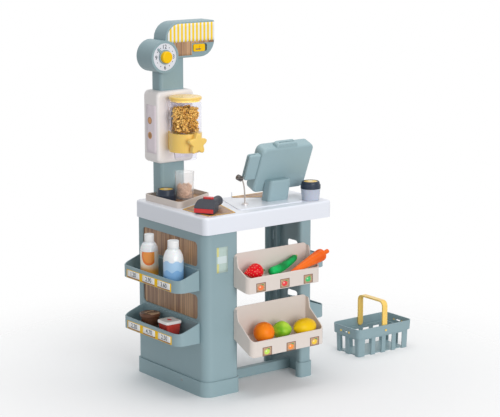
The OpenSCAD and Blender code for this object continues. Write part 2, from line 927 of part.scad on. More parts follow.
// Display tray on the front: floor, skirt, flanged back plate and sloping side walls
module front_tray(z_rear, back_h, depth, fall, floor_h) {
    x0 = fx(tray_x);
    x1 = x0 + tray_w;
    y1 = fy(0);
    y0 = y1 - depth;
    z_front = z_rear - fall;
    z_top = z_rear + back_h;
    z_floor = z_front + floor_h;
    slope_t = tray_wall / cos(atan(fall / depth));
    plan = box_outline(x0, y0, x1, y1);
    plan_radii = [tray_r, tray_r, tray_edge_r, tray_edge_r];
    side = [[y0, z_front], [y1, z_rear], [y1, z_top], [y1 - flange_top_d, z_top],
        [y1 - flange_d, z_top - flange_drop], [y0, z_front + tray_front_h]];
    side_radii = [tray_edge_r, tray_edge_r, tray_edge_r, flange_r, elbow_r, tray_edge_r];
    color(beige)
        difference() {
            intersection() {
                along_x(x0 - over, x1 + over)
                    polygon(rounded(side, side_radii));
                prism(rounded(plan, plan_radii), z_front - over, z_top + over);
                along_y(y0 - over, y1 + over)
                    polygon(rounded(box_outline(x0, z_front - over, x1, z_top),
                        [tray_edge_r, tray_edge_r, tray_r, tray_r]));
            }
            difference() {
                prism(rounded(plan, plan_radii, tray_wall), z_floor, z_top + over);
                along_x(x0, x1)
                    polygon([[y0, z_front + slope_t], [y0, z_front - over], [y1, z_front - over],
                        [y1, z_rear + slope_t]]);
            }
            prism(rounded(plan, plan_radii, tray_wall), z_front - over, z_floor - tray_wall);
        }
}

module front_tray_upper() {
    front_tray(upper_z, upper_back_h, upper_d, upper_fall, upper_floor_h);
}

module front_tray_lower() {
    front_tray(lower_z, lower_back_h, lower_d, lower_fall, lower_floor_h);
}

module corner_tray() {
    outline = scaled(corner_tray_shares, [stall_w, column_y]);
    color(beige)
        difference() {
            slab(outline, same(corner_tray_r), counter_top_z, counter_top_z + corner_tray_h, 0,
                corner_tray_wall / 3);
            prism(rounded(outline, same(corner_tray_r), corner_tray_wall), tray_floor_z,
                counter_top_z + corner_tray_h + over);
            prism(rounded(column_outline, column_radii, -plug), counter_top_z - over,
                counter_top_z + corner_tray_h + over);
        }
}

module column() {
    color(sage)
        difference() {
            prism(rounded(column_outline, column_radii), counter_top_z, column_top);
            prism(rounded(column_outline, column_radii, column_wall), counter_top_z - over,
                column_top - column_wall);
        }
}

module dispenser_housing() {
    outline = box_outline(axis_x - housing_w / 2, housing_z0, axis_x + housing_w / 2, housing_z0 + housing_h);
    color(beige)
        difference() {
            slab_y(outline, same(housing_r), housing_y0, housing_y1, housing_edge_r, housing_edge_r / 2);
            along_y(housing_y0 + housing_wall, housing_y1 - housing_wall)
                polygon(rounded(outline, same(housing_r), housing_edge_r));
            prism(rounded(column_outline, column_radii, -plug), housing_z0 - over, housing_z0 + housing_h + over);
        }
}

module hopper() {
    color(clear)
        translate([axis_x, axis_y, base_z1])
            difference() {
                cylinder(r = hopper_r, h = hopper_h);
                translate([0, 0, -over])
                    cylinder(r = hopper_in_r, h = hopper_h + 2 * over);
            }
}

module hopper_lid() {
    plug_r = hopper_in_r - gap;
    lid_r = base_r - plug;
    color(yellow)
        translate([axis_x, axis_y, hopper_top + gap])
            rotate_extrude()
                polygon([[0, 0], [plug_r - hopper_wall, 0], [plug_r - hopper_wall, -lid_plug_h],
                    [plug_r, -lid_plug_h], [plug_r, 0], [lid_r, 0], [lid_r, lid_t - lid_edge_r],
                    [lid_r - lid_edge_r, lid_t], [0, lid_t]]);
}

// Round base with a funnel, a lying paddle chamber, an outlet and the shaft's two bearings
module dispenser_base() {
    color(yellow)
        difference() {
            union() {
                translate([axis_x, axis_y, base_z0])
                    cylinder(r = base_r, h = base_h);
                translate([axis_x - bracket_w / 2, axis_y, base_z0])
                    cube([bracket_w, housing_y0 - axis_y, base_h]);
            }
            bar_y(axis_x, axis_y - chamber_front, axis_y + chamber_rear, paddle_axis_z, chamber_r);
            translate([axis_x, axis_y, paddle_axis_z + funnel_low])
                cylinder(r1 = funnel_r1, r2 = funnel_r2, h = base_z1 - paddle_axis_z - funnel_low);
            translate([axis_x - outlet_w / 2, axis_y - chamber_front + outlet_inset, base_z0 - over])
                cube([outlet_w, chamber_front + chamber_rear - 2 * outlet_inset, paddle_z + over]);
            bar_y(axis_x, axis_y - base_r - over, axis_y + chamber_rear + shaft_tail, paddle_axis_z, shaft_r + run);
        }
}

module dispenser_rotor() {
    y0 = axis_y - chamber_front + gap;
    y1 = axis_y + chamber_rear - gap;
    color(white) {
        bar_y(axis_x, knob_y0 + knob_skin + gap, y1 + shaft_tail, paddle_axis_z, shaft_r);
        bar_y(axis_x, y0, y1, paddle_axis_z, rotor_hub_r);
        for (i = [0:blade_count - 1])
            translate([axis_x, y0, paddle_axis_z])
                rotate([0, i * 360 / blade_count, 0])
                    translate([0, 0, -blade_t / 2])
                        cube([chamber_r - 2 * gap, y1 - y0, blade_t]);
    }
}

// Lobed knob: its radius follows a cosine with one wave for each tip
module star_knob() {
    mean = (knob_r + knob_waist_r) / 2;
    swing = (knob_r - knob_waist_r) / 2;
    function lobe(inset, z) = [for (i = [0:knob_steps - 1])
        let(a = 360 * i / knob_steps, r = mean + swing * cos(knob_tips * a) - inset)
        [r * sin(a), r * cos(a), z]];
    function star(inset, z) = let(pts = lobe(inset, z)) [for (i = [len(pts) - 1:-1:0]) pts[i]];
    color(yellow)
        difference() {
            translate([axis_x, knob_y1, paddle_axis_z])
                rotate([90, 0, 0])
                    loft(concat([star(knob_edge_r / 2, 0), star(0, knob_edge_r / 2), star(0, knob_t - knob_edge_r)],
                        [for (i = [1:edge_n]) star(knob_edge_r * (1 - cos(90 * i / edge_n)),
                            knob_t - knob_edge_r + knob_edge_r * sin(90 * i / edge_n))]));
            bar_y(axis_x, knob_y0 + knob_skin, knob_y1 + over, paddle_axis_z, shaft_r + run);
        }
}

module dispenser_spout() {
    color(clear)
        translate([axis_x, axis_y, base_z0 - spout_h])
            difference() {
                cylinder(r1 = spout_r1, r2 = spout_r2, h = spout_h);
                translate([0, 0, -over])
                    cylinder(r1 = spout_r1 - hopper_wall, r2 = spout_r2 - hopper_wall, h = spout_h + 2 * over);
            }
}

module hopper_filling() {
    r = hopper_in_r - gap;
    color(wood)
        translate([axis_x, axis_y, base_z1])
            rotate_extrude()
                polygon([[0, 0], [r, 0], [r, filling_h], [crown_share * r, filling_h + filling_crown],
                    [0, filling_h + filling_crown / 2]]);
}

// Shop sign and clock drum in one moulding, pushed over the column's top
module head_shell() {
    column_right = axis_x + column_w / 2;
    color(sage)
        difference() {
            union() {
                slab_y(sign_outline, sign_radii, sign_y0, sign_y1, sign_edge_r, sign_edge_r);
                bar_y(clock_axis_x, clock_y0, sign_y1, clock_axis_z, clock_r);
            }
            prism(rounded(column_outline, column_radii, -plug), clock_axis_z - clock_r - over, column_top);
            intersection() {
                along_y(sign_y0 + slot_d + sign_wall, sign_y1 - sign_wall)
                    polygon(rounded(sign_outline, sign_radii, sign_wall));
                translate([column_right - column_wall, sign_y0, sign_z0])
                    cube([sign_w, sign_d, sign_h]);
            }
            bar_y(clock_axis_x, clock_y0 - over, clock_y0 + recess_d, clock_axis_z, face_r + plug);
            bar_y(clock_axis_x, clock_y0, clock_y0 + recess_d + spindle_l + gap, clock_axis_z, spindle_r + run);
            along_y(sign_y0 - over, sign_y0 + slot_d)
                polygon(rounded(box_outline(slot_x0, slot_z0, slot_x0 + slot_w, slot_z0 + slot_h), same(slider_r)));
        }
}

module clock_face() {
    color(white)
        difference() {
            bar_y(clock_axis_x, face_y0, face_y0 + face_t, clock_axis_z, face_r);
            bar_y(clock_axis_x, face_y0 - over, face_y0 + face_t + over, clock_axis_z, spindle_r + run);
        }
}

module clock_pointer() {
    y1 = face_y0 - gap;
    color(sage) {
        bar_y(clock_axis_x, y1 - pointer_t, y1, clock_axis_z, hub_r + pointer_rim);
        bar_y(clock_axis_x, y1 - pointer_t / 2, face_y0 + face_t + spindle_l, clock_axis_z, spindle_r);
        translate([clock_axis_x, 0, clock_axis_z])
            rotate([0, -pointer_angle, 0])
                along_y(y1 - pointer_t, y1)
                    polygon(rounded([[0, -pointer_w / 2], [pointer_l, -pointer_w / 4],
                        [pointer_l, pointer_w / 4], [0, pointer_w / 2]], same(pointer_w / 6)));
    }
}

module clock_hub() {
    y1 = face_y0 - gap - pointer_t;
    color(yellow)
        translate([clock_axis_x, y1, clock_axis_z])
            rotate([90, 0, 0])
                rotate_extrude()
                    polygon([[0, 0], [hub_r, 0], [hub_r, hub_h - hub_edge_r], [hub_r - hub_edge_r / 3,
                        hub_h - hub_edge_r / 3], [hub_r - hub_edge_r, hub_h], [0, hub_h]]);
}

module sign_slider() {
    x0 = slot_x0 + gap;
    z0 = slot_z0 + gap;
    z1 = slot_z0 + slot_h - gap;
    color(yellow)
        difference() {
            slab_y(box_outline(x0, z0, x0 + slider_w, z1), same(slider_r), sign_y0 - slider_proud,
                sign_y0 + slot_d - gap, groove_d / 2, 0);
            translate([x0 + (slider_w - groove_w) / 2, sign_y0 - slider_proud - over, z0 + slider_r])
                cube([groove_w, groove_d + over, z1 - z0 - 2 * slider_r]);
        }
}

// The till leans towards the customer, with its screen towards the clerk
module till_frame() {
    translate([fx(till_x), fy(till_y), till_z0])
        rotate([till_tilt, 0, 0])
            children();
}

module register_stand() {
    y0 = fy(stand_y);
    foot = box_outline(fx(stand_x), y0, fx(stand_x) + stand_w, y0 + stand_d);
    function shifted(inset, z) = [for (p = rounded(foot, same(stand_r), inset))
        [p[0], p[1] - stand_lean * z / stand_h, platform_z + z]];
    color(white)
        difference() {
            loft(concat([shifted(0, 0), shifted(0, stand_h - stand_edge_r)],
                [for (i = [1:edge_n]) shifted(stand_edge_r * (1 - cos(90 * i / edge_n)),
                    stand_h - stand_edge_r + stand_edge_r * sin(90 * i / edge_n))]));
            till_frame()
                translate([-till_w, 0, -till_h])
                    cube([2 * till_w, till_h, 2 * till_h]);
        }
}

module register_rear_shell() {
    hump = box_outline(hump_x, till_h - till_r, hump_x + hump_w, till_h + hump_h);
    paper_x = hump_x + (hump_w - paper_slot_w) / 2;
    color(white)
        till_frame()
            difference() {
                union() {
                    slab_y(till_outline, till_radii, 0, till_shell_d, till_edge_r, 0);
                    slab_y(hump, same(hump_h), hump_inset, till_shell_d, hump_inset, 0);
                }
                along_y(till_wall, till_shell_d + over)
                    polygon(rounded(till_outline, till_radii, till_edge_r));
                translate([paper_x, till_shell_d / 2, till_h - till_edge_r - over])
                    cube([paper_slot_w, paper_slot_t, hump_h + till_edge_r + 2 * over]);
            }
}

function key_place(i) = key_x + i * key_pitch;

module register_bezel() {
    y1 = till_shell_d + till_bezel_d;
    screen = box_outline(-screen_w / 2, screen_z, screen_w / 2, screen_z + screen_h);
    color(white)
        till_frame()
            difference() {
                slab_y(till_outline, till_radii, till_shell_d, y1, 0, till_wall);
                along_y(till_shell_d - over, y1 - till_wall)
                    polygon(rounded(till_outline, till_radii, till_edge_r));
                along_y(y1 - screen_t, y1 + over)
                    polygon(rounded(screen, same(screen_r)));
                for (i = [0:2])
                    bar_y(key_place(i), till_shell_d, y1 + over, key_z, key_r + gap);
            }
}

module register_screen() {
    y1 = till_shell_d + till_bezel_d;
    screen = box_outline(-screen_w / 2, screen_z, screen_w / 2, screen_z + screen_h);
    color(dark)
        till_frame()
            along_y(y1 - screen_t, y1)
                polygon(rounded(screen, same(screen_r), plug));
}

module register_keypad() {
    y1 = till_shell_d + till_bezel_d;
    x1 = key_x - key_r - key_flange - gap;
    color(beige)
        till_frame()
            along_y(y1, y1 + keypad_t)
                polygon(rounded(box_outline(x1 - keypad_w, keypad_z, x1, keypad_z + keypad_h), same(screen_r)));
}

// Push key, kept in by a flange behind the bezel
module register_key(i) {
    y1 = till_shell_d + till_bezel_d;
    color(i == 1 ? beige : yellow)
        till_frame() {
            bar_y(key_place(i), y1 - till_wall - gap - key_flange_t, y1 + key_proud, key_z, key_r);
            bar_y(key_place(i), y1 - till_wall - gap - key_flange_t, y1 - till_wall - gap, key_z,
                key_r + key_flange);
        }
}

module register_key_1() {
    register_key(0);
}

module register_key_2() {
    register_key(1);
}

module register_key_3() {
    register_key(2);
}

module card_reader() {
    x1 = -till_w / 2;
    outline = box_outline(x1 - reader_w, reader_z, x1, reader_z + reader_h);
    color(white)
        till_frame()
            difference() {
                slab_y(outline, [reader_r, least_r, least_r, reader_r], reader_y, reader_y + reader_d,
                    reader_r / 2, reader_r / 2);
                translate([x1 - reader_w - over, reader_y + (reader_d - reader_slot_t) / 2, reader_z - over])
                    cube([reader_slot_d + over, reader_slot_t, reader_h + 2 * over]);
            }
}

// Disc foot, a stem that bends over as a quadratic curve, and a ribbed capsule
module microphone() {
    foot = [fx(mic_x), fy(mic_y), platform_z + mic_base_h / 2];
    bend = [fx(mic_x), fy(mic_y), counter_top_z + mic_h];
    head = [fx(mic_x - mic_reach), fy(mic_y), counter_top_z + mic_h];
    function stem(t) = mid(mid(foot, bend, t), mid(bend, head, t), t);
    function tilt(t) = let(d = unit(mid(bend - foot, head - bend, t))) atan2(d[2], d[0]);
    color(white) {
        translate([fx(mic_x), fy(mic_y), platform_z])
            cylinder(r = mic_base_r, h = mic_base_h);
        loft([for (j = [0:mic_steps]) let(c = stem(j / mic_steps), a = tilt(j / mic_steps) - 90)
            [for (i = [0:mic_sides - 1]) let(u = mic_stem_r * [cos(360 * i / mic_sides), sin(360 * i / mic_sides)])
                c + [u[0] * cos(a), u[1], u[0] * sin(a)]]]);
        translate(head)
            rotate([0, -mic_head_tilt, 0])
                translate([0, 0, -mic_head_l / 2])
                    rotate_extrude()
                        polygon([[0, 0], [mic_head_r / 2, 0], [mic_head_r, mic_head_r / 2],
                            for (i = [0:2]) each let(z = mic_head_r / 2 + (i + 1) * mic_head_l / 6)
                                [[mic_head_r, z], [mic_head_r - peg_r, z], [mic_head_r - peg_r, z + peg_r],
                                    [mic_head_r, z + peg_r]],
                            [mic_head_r, mic_head_l - mic_head_r / 3], [mic_head_r / 2, mic_head_l], [0, mic_head_l]]);
    }
}

// The scanner lies on the front mat, with its red window at its own origin
module scanner_frame() {
    translate([fx(scanner_x), fy(scanner_y), counter_top_z + mat_t + gap])
        rotate([0, 0, scanner_yaw])
            children();
}

// Flat-sided oval bar for the trigger and its well
module trigger_bar(r, z0, z1) {
    for (i = [-1, 1])
        translate([trigger_x, i * trigger_l / 2, z0])
            cylinder(r = r, h = z1 - z0);
    translate([trigger_x - r, -trigger_l / 2, z0])
        cube([2 * r, trigger_l, z1 - z0]);
}

// Wedge-shaped head that narrows to a round handle, with a pocket for the window and a well for the button
module scanner_body() {
    rear_w = scanner_w * scanner_rear_share;
    nose_h = scanner_h * scanner_nose_share;
    slope_x = scanner_l * scanner_slope_share * slope_over_share;
    slope_z = nose_h + (scanner_h - nose_h) * slope_over_share;
    outline = [[0, -scanner_w / 2], [scanner_l, -rear_w / 2], [scanner_l, rear_w / 2], [0, scanner_w / 2]];
    color(dark)
        scanner_frame()
            difference() {
                union() {
                    slab(outline, same(scanner_r), 0, scanner_h, scanner_foot_r, scanner_top_r);
                    translate([scanner_l - grip_lap, 0, scanner_h / 2])
                        rotate([0, 90, 0])
                            rotate_extrude()
                                polygon([[0, 0], [scanner_grip_r, 0],
                                    [scanner_grip_r, scanner_grip_l + grip_lap - grip_end_r],
                                    [scanner_grip_r - grip_end_r, scanner_grip_l + grip_lap],
                                    [0, scanner_grip_l + grip_lap]]);
                }
                along_y(-scanner_w, scanner_w)
                    polygon([[-over, nose_h], [0, nose_h], [slope_x, slope_z], [-over, slope_z]]);
                translate([-over, -window_red_w / 2, window_red_z])
                    cube([window_red_t + over, window_red_w, window_red_h]);
                trigger_bar(trigger_r + gap, scanner_h - trigger_sink - button_travel - gap, scanner_h + over);
            }
}

module scanner_window() {
    color(red)
        scanner_frame()
            translate([0, -window_red_w / 2 + plug, window_red_z + plug])
                cube([window_red_t, window_red_w - 2 * plug, window_red_h - 2 * plug]);
}

module scanner_button() {
    color(red)
        scanner_frame()
            trigger_bar(trigger_r, scanner_h - trigger_sink, scanner_h + trigger_proud);
}

// Open cup with a floor, wider at its rim
module open_cup(r1, r2, h) {
    rotate_extrude()
        polygon([[0, 0], [r1, 0], [r2, h], [r2 - cup_wall, h], [r1 - cup_wall, cup_wall], [0, cup_wall]]);
}

// Lid with a skirt or plug below, stepped sides and a shallow dish for a disc
module cup_lid(r, h) {
    dish_r = lid_dish_share * r;
    rotate_extrude()
        polygon([[0, h / 2], [r - cup_wall, h / 2], [r - cup_wall, 0], [r, 0], [r, h / 2],
            [r - cup_wall, h / 2 + cup_wall], [r - 2 * cup_wall, h - cup_wall], [r - 3 * cup_wall, h],
            [dish_r, h], [dish_r, h - lid_dish_d], [0, h - lid_dish_d]]);
}

module cereal_cup() {
    color(clear)
        translate([fx(cup_x), fy(cup_y_share * column_y), cup_z])
            open_cup(cup_foot_share * cup_r, cup_r, cup_h);
}

module loose_lid() {
    color(navy)
        translate([fx(loose_lid_x), fy(loose_lid_y_share * column_y), cup_z])
            cup_lid(loose_lid_r, loose_lid_h);
}

module takeaway_cup() {
    color([0.78, 0.77, 0.82])
        translate([fx(stall_w + over_right - takeaway_in), fy(takeaway_y), counter_top_z + gap])
            open_cup(cup_foot_share * takeaway_r, takeaway_r, takeaway_h);
}

module takeaway_lid() {
    plug_r = takeaway_r - cup_wall - 2 * gap;
    color(navy)
        translate([fx(stall_w + over_right - takeaway_in), fy(takeaway_y), counter_top_z + takeaway_h + 2 * gap]) {
            cup_lid(takeaway_lid_r, takeaway_lid_h);
            translate([0, 0, -takeaway_plug_h])
                difference() {
                    cylinder(r = plug_r, h = takeaway_plug_h + takeaway_lid_h / 2 + cup_wall / 2);
                    translate([0, 0, -over])
                        cylinder(r = plug_r - cup_wall, h = takeaway_plug_h + takeaway_lid_h / 2 + over);
                }
        }
}

// Round pack turned from a table of radius and height shares
module turned_pack(y, z, r, h, shares) {
    translate([fx(-bottle_x), fy(y), z + shelf_wall + gap])
        rotate_extrude()
            polygon([for (p = shares) [p[0] * r, p[1] * h]]);
}

module juice_bottle() {
    color(yellow)
        turned_pack(juice_y, shelf_z, juice_r, juice_h, juice_shares);
}

module milk_bottle() {
    color(white)
        turned_pack(milk_y, shelf_z, milk_r, milk_h, milk_shares);
}

module dessert_tub() {
    color([0.36, 0.22, 0.16])
        turned_pack(tub_y, shelf_z - shelf_pitch, tub_r, tub_h, tub_shares);
}

module jelly_pot() {
    half = jelly_w / 2;
    z0 = shelf_z - shelf_pitch + shelf_wall + gap;
    lid = box_outline(fx(-bottle_x) - half, fy(jelly_y) - half, fx(-bottle_x) + half, fy(jelly_y) + half);
    color(red)
        loft([
            ring(rounded(lid, same(jelly_r), (1 - jelly_foot_share) * half + jelly_lip), z0),
            ring(rounded(lid, same(jelly_r), jelly_lip), z0 + jelly_h - jelly_lid_h),
            ring(rounded(lid, same(jelly_r)), z0 + jelly_h - jelly_lid_h),
            ring(rounded(lid, same(jelly_r)), z0 + jelly_h - jelly_lip),
            ring(rounded(lid, same(jelly_r), jelly_lip), z0 + jelly_h)
        ]);
}

// Strawberry lying down: its radius follows a sine that is fuller at the leaf end
module strawberry() {
    body = [for (i = [0:berry_steps]) let(t = i / berry_steps)
        [berry_r * pow(sin(180 * pow(t, 1.5)), 0.75), t * (berry_l - stalk_l)]];
    color(red)
        translate([fx(berry_x), fy(-berry_y), upper_floor_z + berry_r + gap])
            rotate([0, 90, 0]) {
                rotate_extrude()
                    polygon([for (i = [0:berry_steps]) i % berry_steps == 0 ? [0, body[i][1]] : body[i]]);
                translate([0, 0, berry_l - 2 * stalk_l])
                    cylinder(r = stalk_r, h = 2 * stalk_l);
            }
}

// Curved cucumber: the middle line rises as a square, the ends close as circles
module cucumber() {
    start = [fx(cucumber_x0), fy(-cucumber_y0), upper_floor_z + cucumber_r + gap];
    end = [fx(cucumber_x1), fy(-cucumber_y1), upper_floor_z + cucumber_r + gap];
    function swell(t) = cucumber_r * sqrt(max(0, 1 - pow(max(0, abs(2 * t - 1) - 1 + 2 * cucumber_end_share)
        / (2 * cucumber_end_share), 2)));
    function line(t) = mid(start, end, t) + [0, 0, cucumber_rise * t * t];
    side = unit([end[1] - start[1], start[0] - end[0], 0]);
    function slope(t) = let(d = end - start) unit([d[0], d[1], 2 * cucumber_rise * t]);
    color([0.25, 0.45, 0.20])
        loft([for (j = [0:cucumber_steps]) let(u = j / cucumber_steps, t = (1 - cos(180 * u)) / 2,
            r = max(swell(t), cucumber_r * cucumber_end_share), up = cross(side, slope(t)))
            [for (i = [0:cucumber_sides - 1]) let(a = 360 * i / cucumber_sides)
                line(t) + r * (cos(a) * up + sin(a) * side)]]);
}

// Carrot leaning over the tray's right wall
module carrot() {
    color([0.93, 0.50, 0.18])
        translate([fx(carrot_x), fy(-carrot_y), upper_floor_z + carrot_tip_z])
            rotate([0, 90 - carrot_tilt, 0]) {
                rotate_extrude()
                    polygon([for (p = carrot_shares) [p[0] * carrot_r, p[1] * carrot_l]]);
                translate([0, 0, carrot_l - carrot_stub_r])
                    cylinder(r = carrot_stub_r, h = carrot_stub_l + carrot_stub_r);
            }
}

module orange() {
    color([0.95, 0.55, 0.15])
        translate([fx(orange_x), fy(-orange_y), lower_floor_z + orange_r + gap])
            sphere(r = orange_r);
}

// Pepper lying down: a swelling body whose section has one wave for each lobe
module green_pepper() {
    top = 1 + pepper_lobe_share;
    function swell(t) = pepper_r * pow(sin(180 * t), 0.6);
    color([0.45, 0.62, 0.20])
        translate([fx(pepper_x), fy(-pepper_y), lower_floor_z + pepper_r * top + gap])
            rotate([0, 0, pepper_yaw])
                rotate([0, 90, 0])
                    loft([for (j = [0:pepper_steps]) let(t = (j + 0.15) / (pepper_steps + 0.3))
                        [for (i = [0:pepper_sides - 1]) let(a = 360 * i / pepper_sides,
                            r = swell(t) * (1 + pepper_lobe_share * cos(pepper_lobes * a)))
                            [r * cos(a), r * sin(a), (t - 0.5) * pepper_l]]]);
}

// Lemon lying down, with a nipple at each end
module lemon() {
    function swell(t) = let(u = abs(2 * t - 1))
        lemon_r * (u < 1 - lemon_tip_share ? sqrt(1 - pow(u / (1 - lemon_tip_share), 2) * (1 - lemon_tip_share))
            : sqrt(lemon_tip_share) * (1 - u) / lemon_tip_share);
    color([0.96, 0.80, 0.20])
        translate([fx(lemon_x) - lemon_l / 2, fy(-lemon_y), lower_floor_z + lemon_r + gap])
            rotate([0, 90, 0])
                rotate_extrude()
                    polygon([for (i = [0:lemon_steps]) let(t = i / lemon_steps)
                        [i % lemon_steps == 0 ? 0 : swell(t), t * lemon_l]]);
}

module basket_frame() {
    translate([basket_x, fy(basket_y), 0])
        children();
}

basket_rim = box_outline(-basket_l / 2, -basket_w / 2, basket_l / 2, basket_w / 2);

// Basket with a plain band round its rim, slats below it and holes for the pins
module basket_body() {
    function level(inset, z) = ring(rounded(basket_rim, same(basket_r), inset), z);
    gap_top = ledge_z - slat_gap_top;
    cut = basket_draft + basket_wall + band_step;
    color(sage)
        basket_frame()
            difference() {
                loft([level(basket_draft + band_draft, 0), level(band_step + band_draft, ledge_z),
                    level(band_draft, ledge_z), level(0, basket_h)]);
                loft([level(basket_draft + band_draft + basket_wall, basket_floor),
                    level(band_step + band_draft + basket_wall, ledge_z + basket_wall),
                    level(band_draft + basket_wall, ledge_z + basket_wall), level(basket_wall, basket_h + over)]);
                for (i = [-1.5:1:1.5])
                    for (s = [-1, 1])
                        translate([i * slat_pitch - slat_gap_w / 2, s * (basket_out_y - cut / 2) - cut / 2, -over])
                            cube([slat_gap_w, cut, gap_top + over]);
                for (i = [-0.5, 0.5])
                    for (s = [-1, 1])
                        translate([s * (basket_l / 2 - cut / 2) - cut / 2, i * short_pitch - slat_gap_w / 2, -over])
                            cube([cut, slat_gap_w, gap_top + over]);
                bar_y(0, -basket_w, basket_w, pivot_z, pivot_r + run);
                for (s = [-1, 1])
                    translate([-basket_l, s * stud_y, pivot_z])
                        rotate([0, 90, 0])
                            cylinder(r = pivot_r + run, h = 2 * basket_l);
                translate([-basket_l, -slot_between_w / 2, pivot_z - slot_between_h / 2])
                    cube([2 * basket_l, slot_between_w, slot_between_h]);
            }
}

// Pivot pins in the long walls and studs in the short walls
module basket_pins() {
    pin_l = basket_wall + band_draft + gap + strap_t + pin_proud;
    stud_l = basket_wall + 2 * pin_proud;
    color(yellow)
        basket_frame() {
            for (s = [-1, 1])
                bar_y(0, s * (basket_out_y + pin_proud - pin_l / 2) - pin_l / 2,
                    s * (basket_out_y + pin_proud - pin_l / 2) + pin_l / 2, pivot_z, pivot_r);
            for (s = [-1, 1])
                for (e = [-1, 1])
                    translate([e * (basket_l / 2 + pin_proud - stud_l / 2) - stud_l / 2, s * stud_y, pivot_z])
                        rotate([0, 90, 0])
                            cylinder(r = pivot_r, h = stud_l);
        }
}

// Strap bent to a hoop, with round eyes on the two pins
module basket_handle() {
    top = pivot_z + handle_h;
    hoop = box_outline(-handle_half, pivot_z, handle_half, top);
    color(yellow)
        basket_frame()
            difference() {
                union() {
                    along_x(-strap_w / 2, strap_w / 2)
                        difference() {
                            polygon(rounded(hoop, [least_r, least_r, handle_r, handle_r]));
                            polygon(rounded(box_outline(-handle_half + strap_t, pivot_z - over, handle_half - strap_t,
                                top - strap_t), [least_r, least_r, handle_r - strap_t, handle_r - strap_t]));
                        }
                    for (s = [-1, 1])
                        bar_y(0, s * (handle_half - strap_t / 2) - strap_t / 2,
                            s * (handle_half - strap_t / 2) + strap_t / 2, pivot_z, strap_w / 2);
                }
                bar_y(0, -basket_w, basket_w, pivot_z, pivot_r + run);
            }
}

left_end_panel();
left_plinth();
left_wood_board();
left_shelf_upper();
left_shelf_lower();
right_end_panel();
right_plinth();
right_shelf_upper();
right_shelf_lower();
floor_crossbar();
counter_top();
wood_inlays();
front_tray_upper();
front_tray_lower();
corner_tray();
column();
dispenser_housing();
hopper();
hopper_lid();
dispenser_base();
dispenser_rotor();
star_knob();
dispenser_spout();
hopper_filling();
head_shell();
clock_face();
clock_pointer();
clock_hub();
sign_slider();
register_stand();
register_rear_shell();
register_bezel();
register_screen();
register_keypad();
register_key_1();
register_key_2();
register_key_3();
card_reader();
microphone();
scanner_body();
scanner_window();
scanner_button();
cereal_cup();
loose_lid();
takeaway_cup();
takeaway_lid();
juice_bottle();
milk_bottle();
dessert_tub();
jelly_pot();
strawberry();
cucumber();
carrot();
orange();
green_pepper();
lemon();
basket_body();
basket_pins();
basket_handle();
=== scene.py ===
"""Looks of a toy market stall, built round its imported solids.

Every new piece but the figures is a surface on a grid of two parameters, worked out as whole
arrays. All lengths are in metres, in the same frame as the solids.
"""

import math

import bmesh
import bpy
import numpy as np
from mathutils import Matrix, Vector


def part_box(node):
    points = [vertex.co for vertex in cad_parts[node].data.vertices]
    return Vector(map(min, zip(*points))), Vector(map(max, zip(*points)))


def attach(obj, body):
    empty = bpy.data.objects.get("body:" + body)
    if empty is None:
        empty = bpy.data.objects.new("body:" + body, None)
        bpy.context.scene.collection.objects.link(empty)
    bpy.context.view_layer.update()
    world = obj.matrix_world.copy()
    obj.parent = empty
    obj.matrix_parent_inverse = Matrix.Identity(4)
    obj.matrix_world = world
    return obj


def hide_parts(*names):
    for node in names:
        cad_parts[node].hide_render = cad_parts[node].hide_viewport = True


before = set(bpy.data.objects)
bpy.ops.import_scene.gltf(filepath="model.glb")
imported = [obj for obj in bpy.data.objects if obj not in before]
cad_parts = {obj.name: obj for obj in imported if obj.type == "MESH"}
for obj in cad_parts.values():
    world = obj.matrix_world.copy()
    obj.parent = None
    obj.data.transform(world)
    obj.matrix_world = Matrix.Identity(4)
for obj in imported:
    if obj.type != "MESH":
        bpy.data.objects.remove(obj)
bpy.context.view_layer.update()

bl_info = {
    "name": "Toy market stall",
    "version": (1, 0, 0),
    "blender": (4, 5, 0),
    "location": "3D View > Sidebar > Stall",
    "description": "Dresses the stall's solids with finishes, prints, goods and play food",
    "category": "Object",
}

MM = 0.001
X, Y, Z = 0, 1, 2
SIGN_FACE_Y = 165 * MM
DRUM_X, DRUM_Z, DRUM_R = -119 * MM, 848 * MM, 42 * MM
TILL_LEAN = math.radians(22)
STICK = 0.12 * MM  # lift of a print over the face behind it
FIGURE_WEIGHT = 0.012  # thickening of the figures, as a share of their size
CAPITAL = 0.72  # height of a figure, as a share of its font size
CREASE = math.radians(40)  # edges of new pieces that turn more than this stay sharp
FACET = math.radians(32)  # edges of the solids that turn more than this stay sharp
FULL_TURN = 2 * np.pi


def mm(values):
    """Array of lengths that are written in millimetres."""
    return np.array(values) * MM


def tint(code):
    """Linear colour of a written screen colour such as 96ACB0."""
    s = np.array([int(code[i:i + 2], 16) for i in (0, 2, 4)]) / 255
    return tuple(np.where(s <= 0.04045, s / 12.92, ((s + 0.055) / 1.055) ** 2.4))


def colour_prop(label, words, code):
    """Colour property whose default is a written screen colour."""
    return bpy.props.FloatVectorProperty(name=label, description=words, subtype="COLOR", size=3,
                                         min=0, max=1, default=tint(code))


def length_prop(label, words, default):
    """Length property whose default is given in millimetres."""
    return bpy.props.FloatProperty(name=label, description=words, unit="LENGTH", min=0,
                                   precision=5, default=default * MM)


def count_prop(label, words, default, least):
    """Count with a lower limit."""
    return bpy.props.IntProperty(name=label, description=words, default=default, min=least)


def number_prop(label, words, default):
    """Plain number."""
    return bpy.props.FloatProperty(name=label, description=words, default=default)


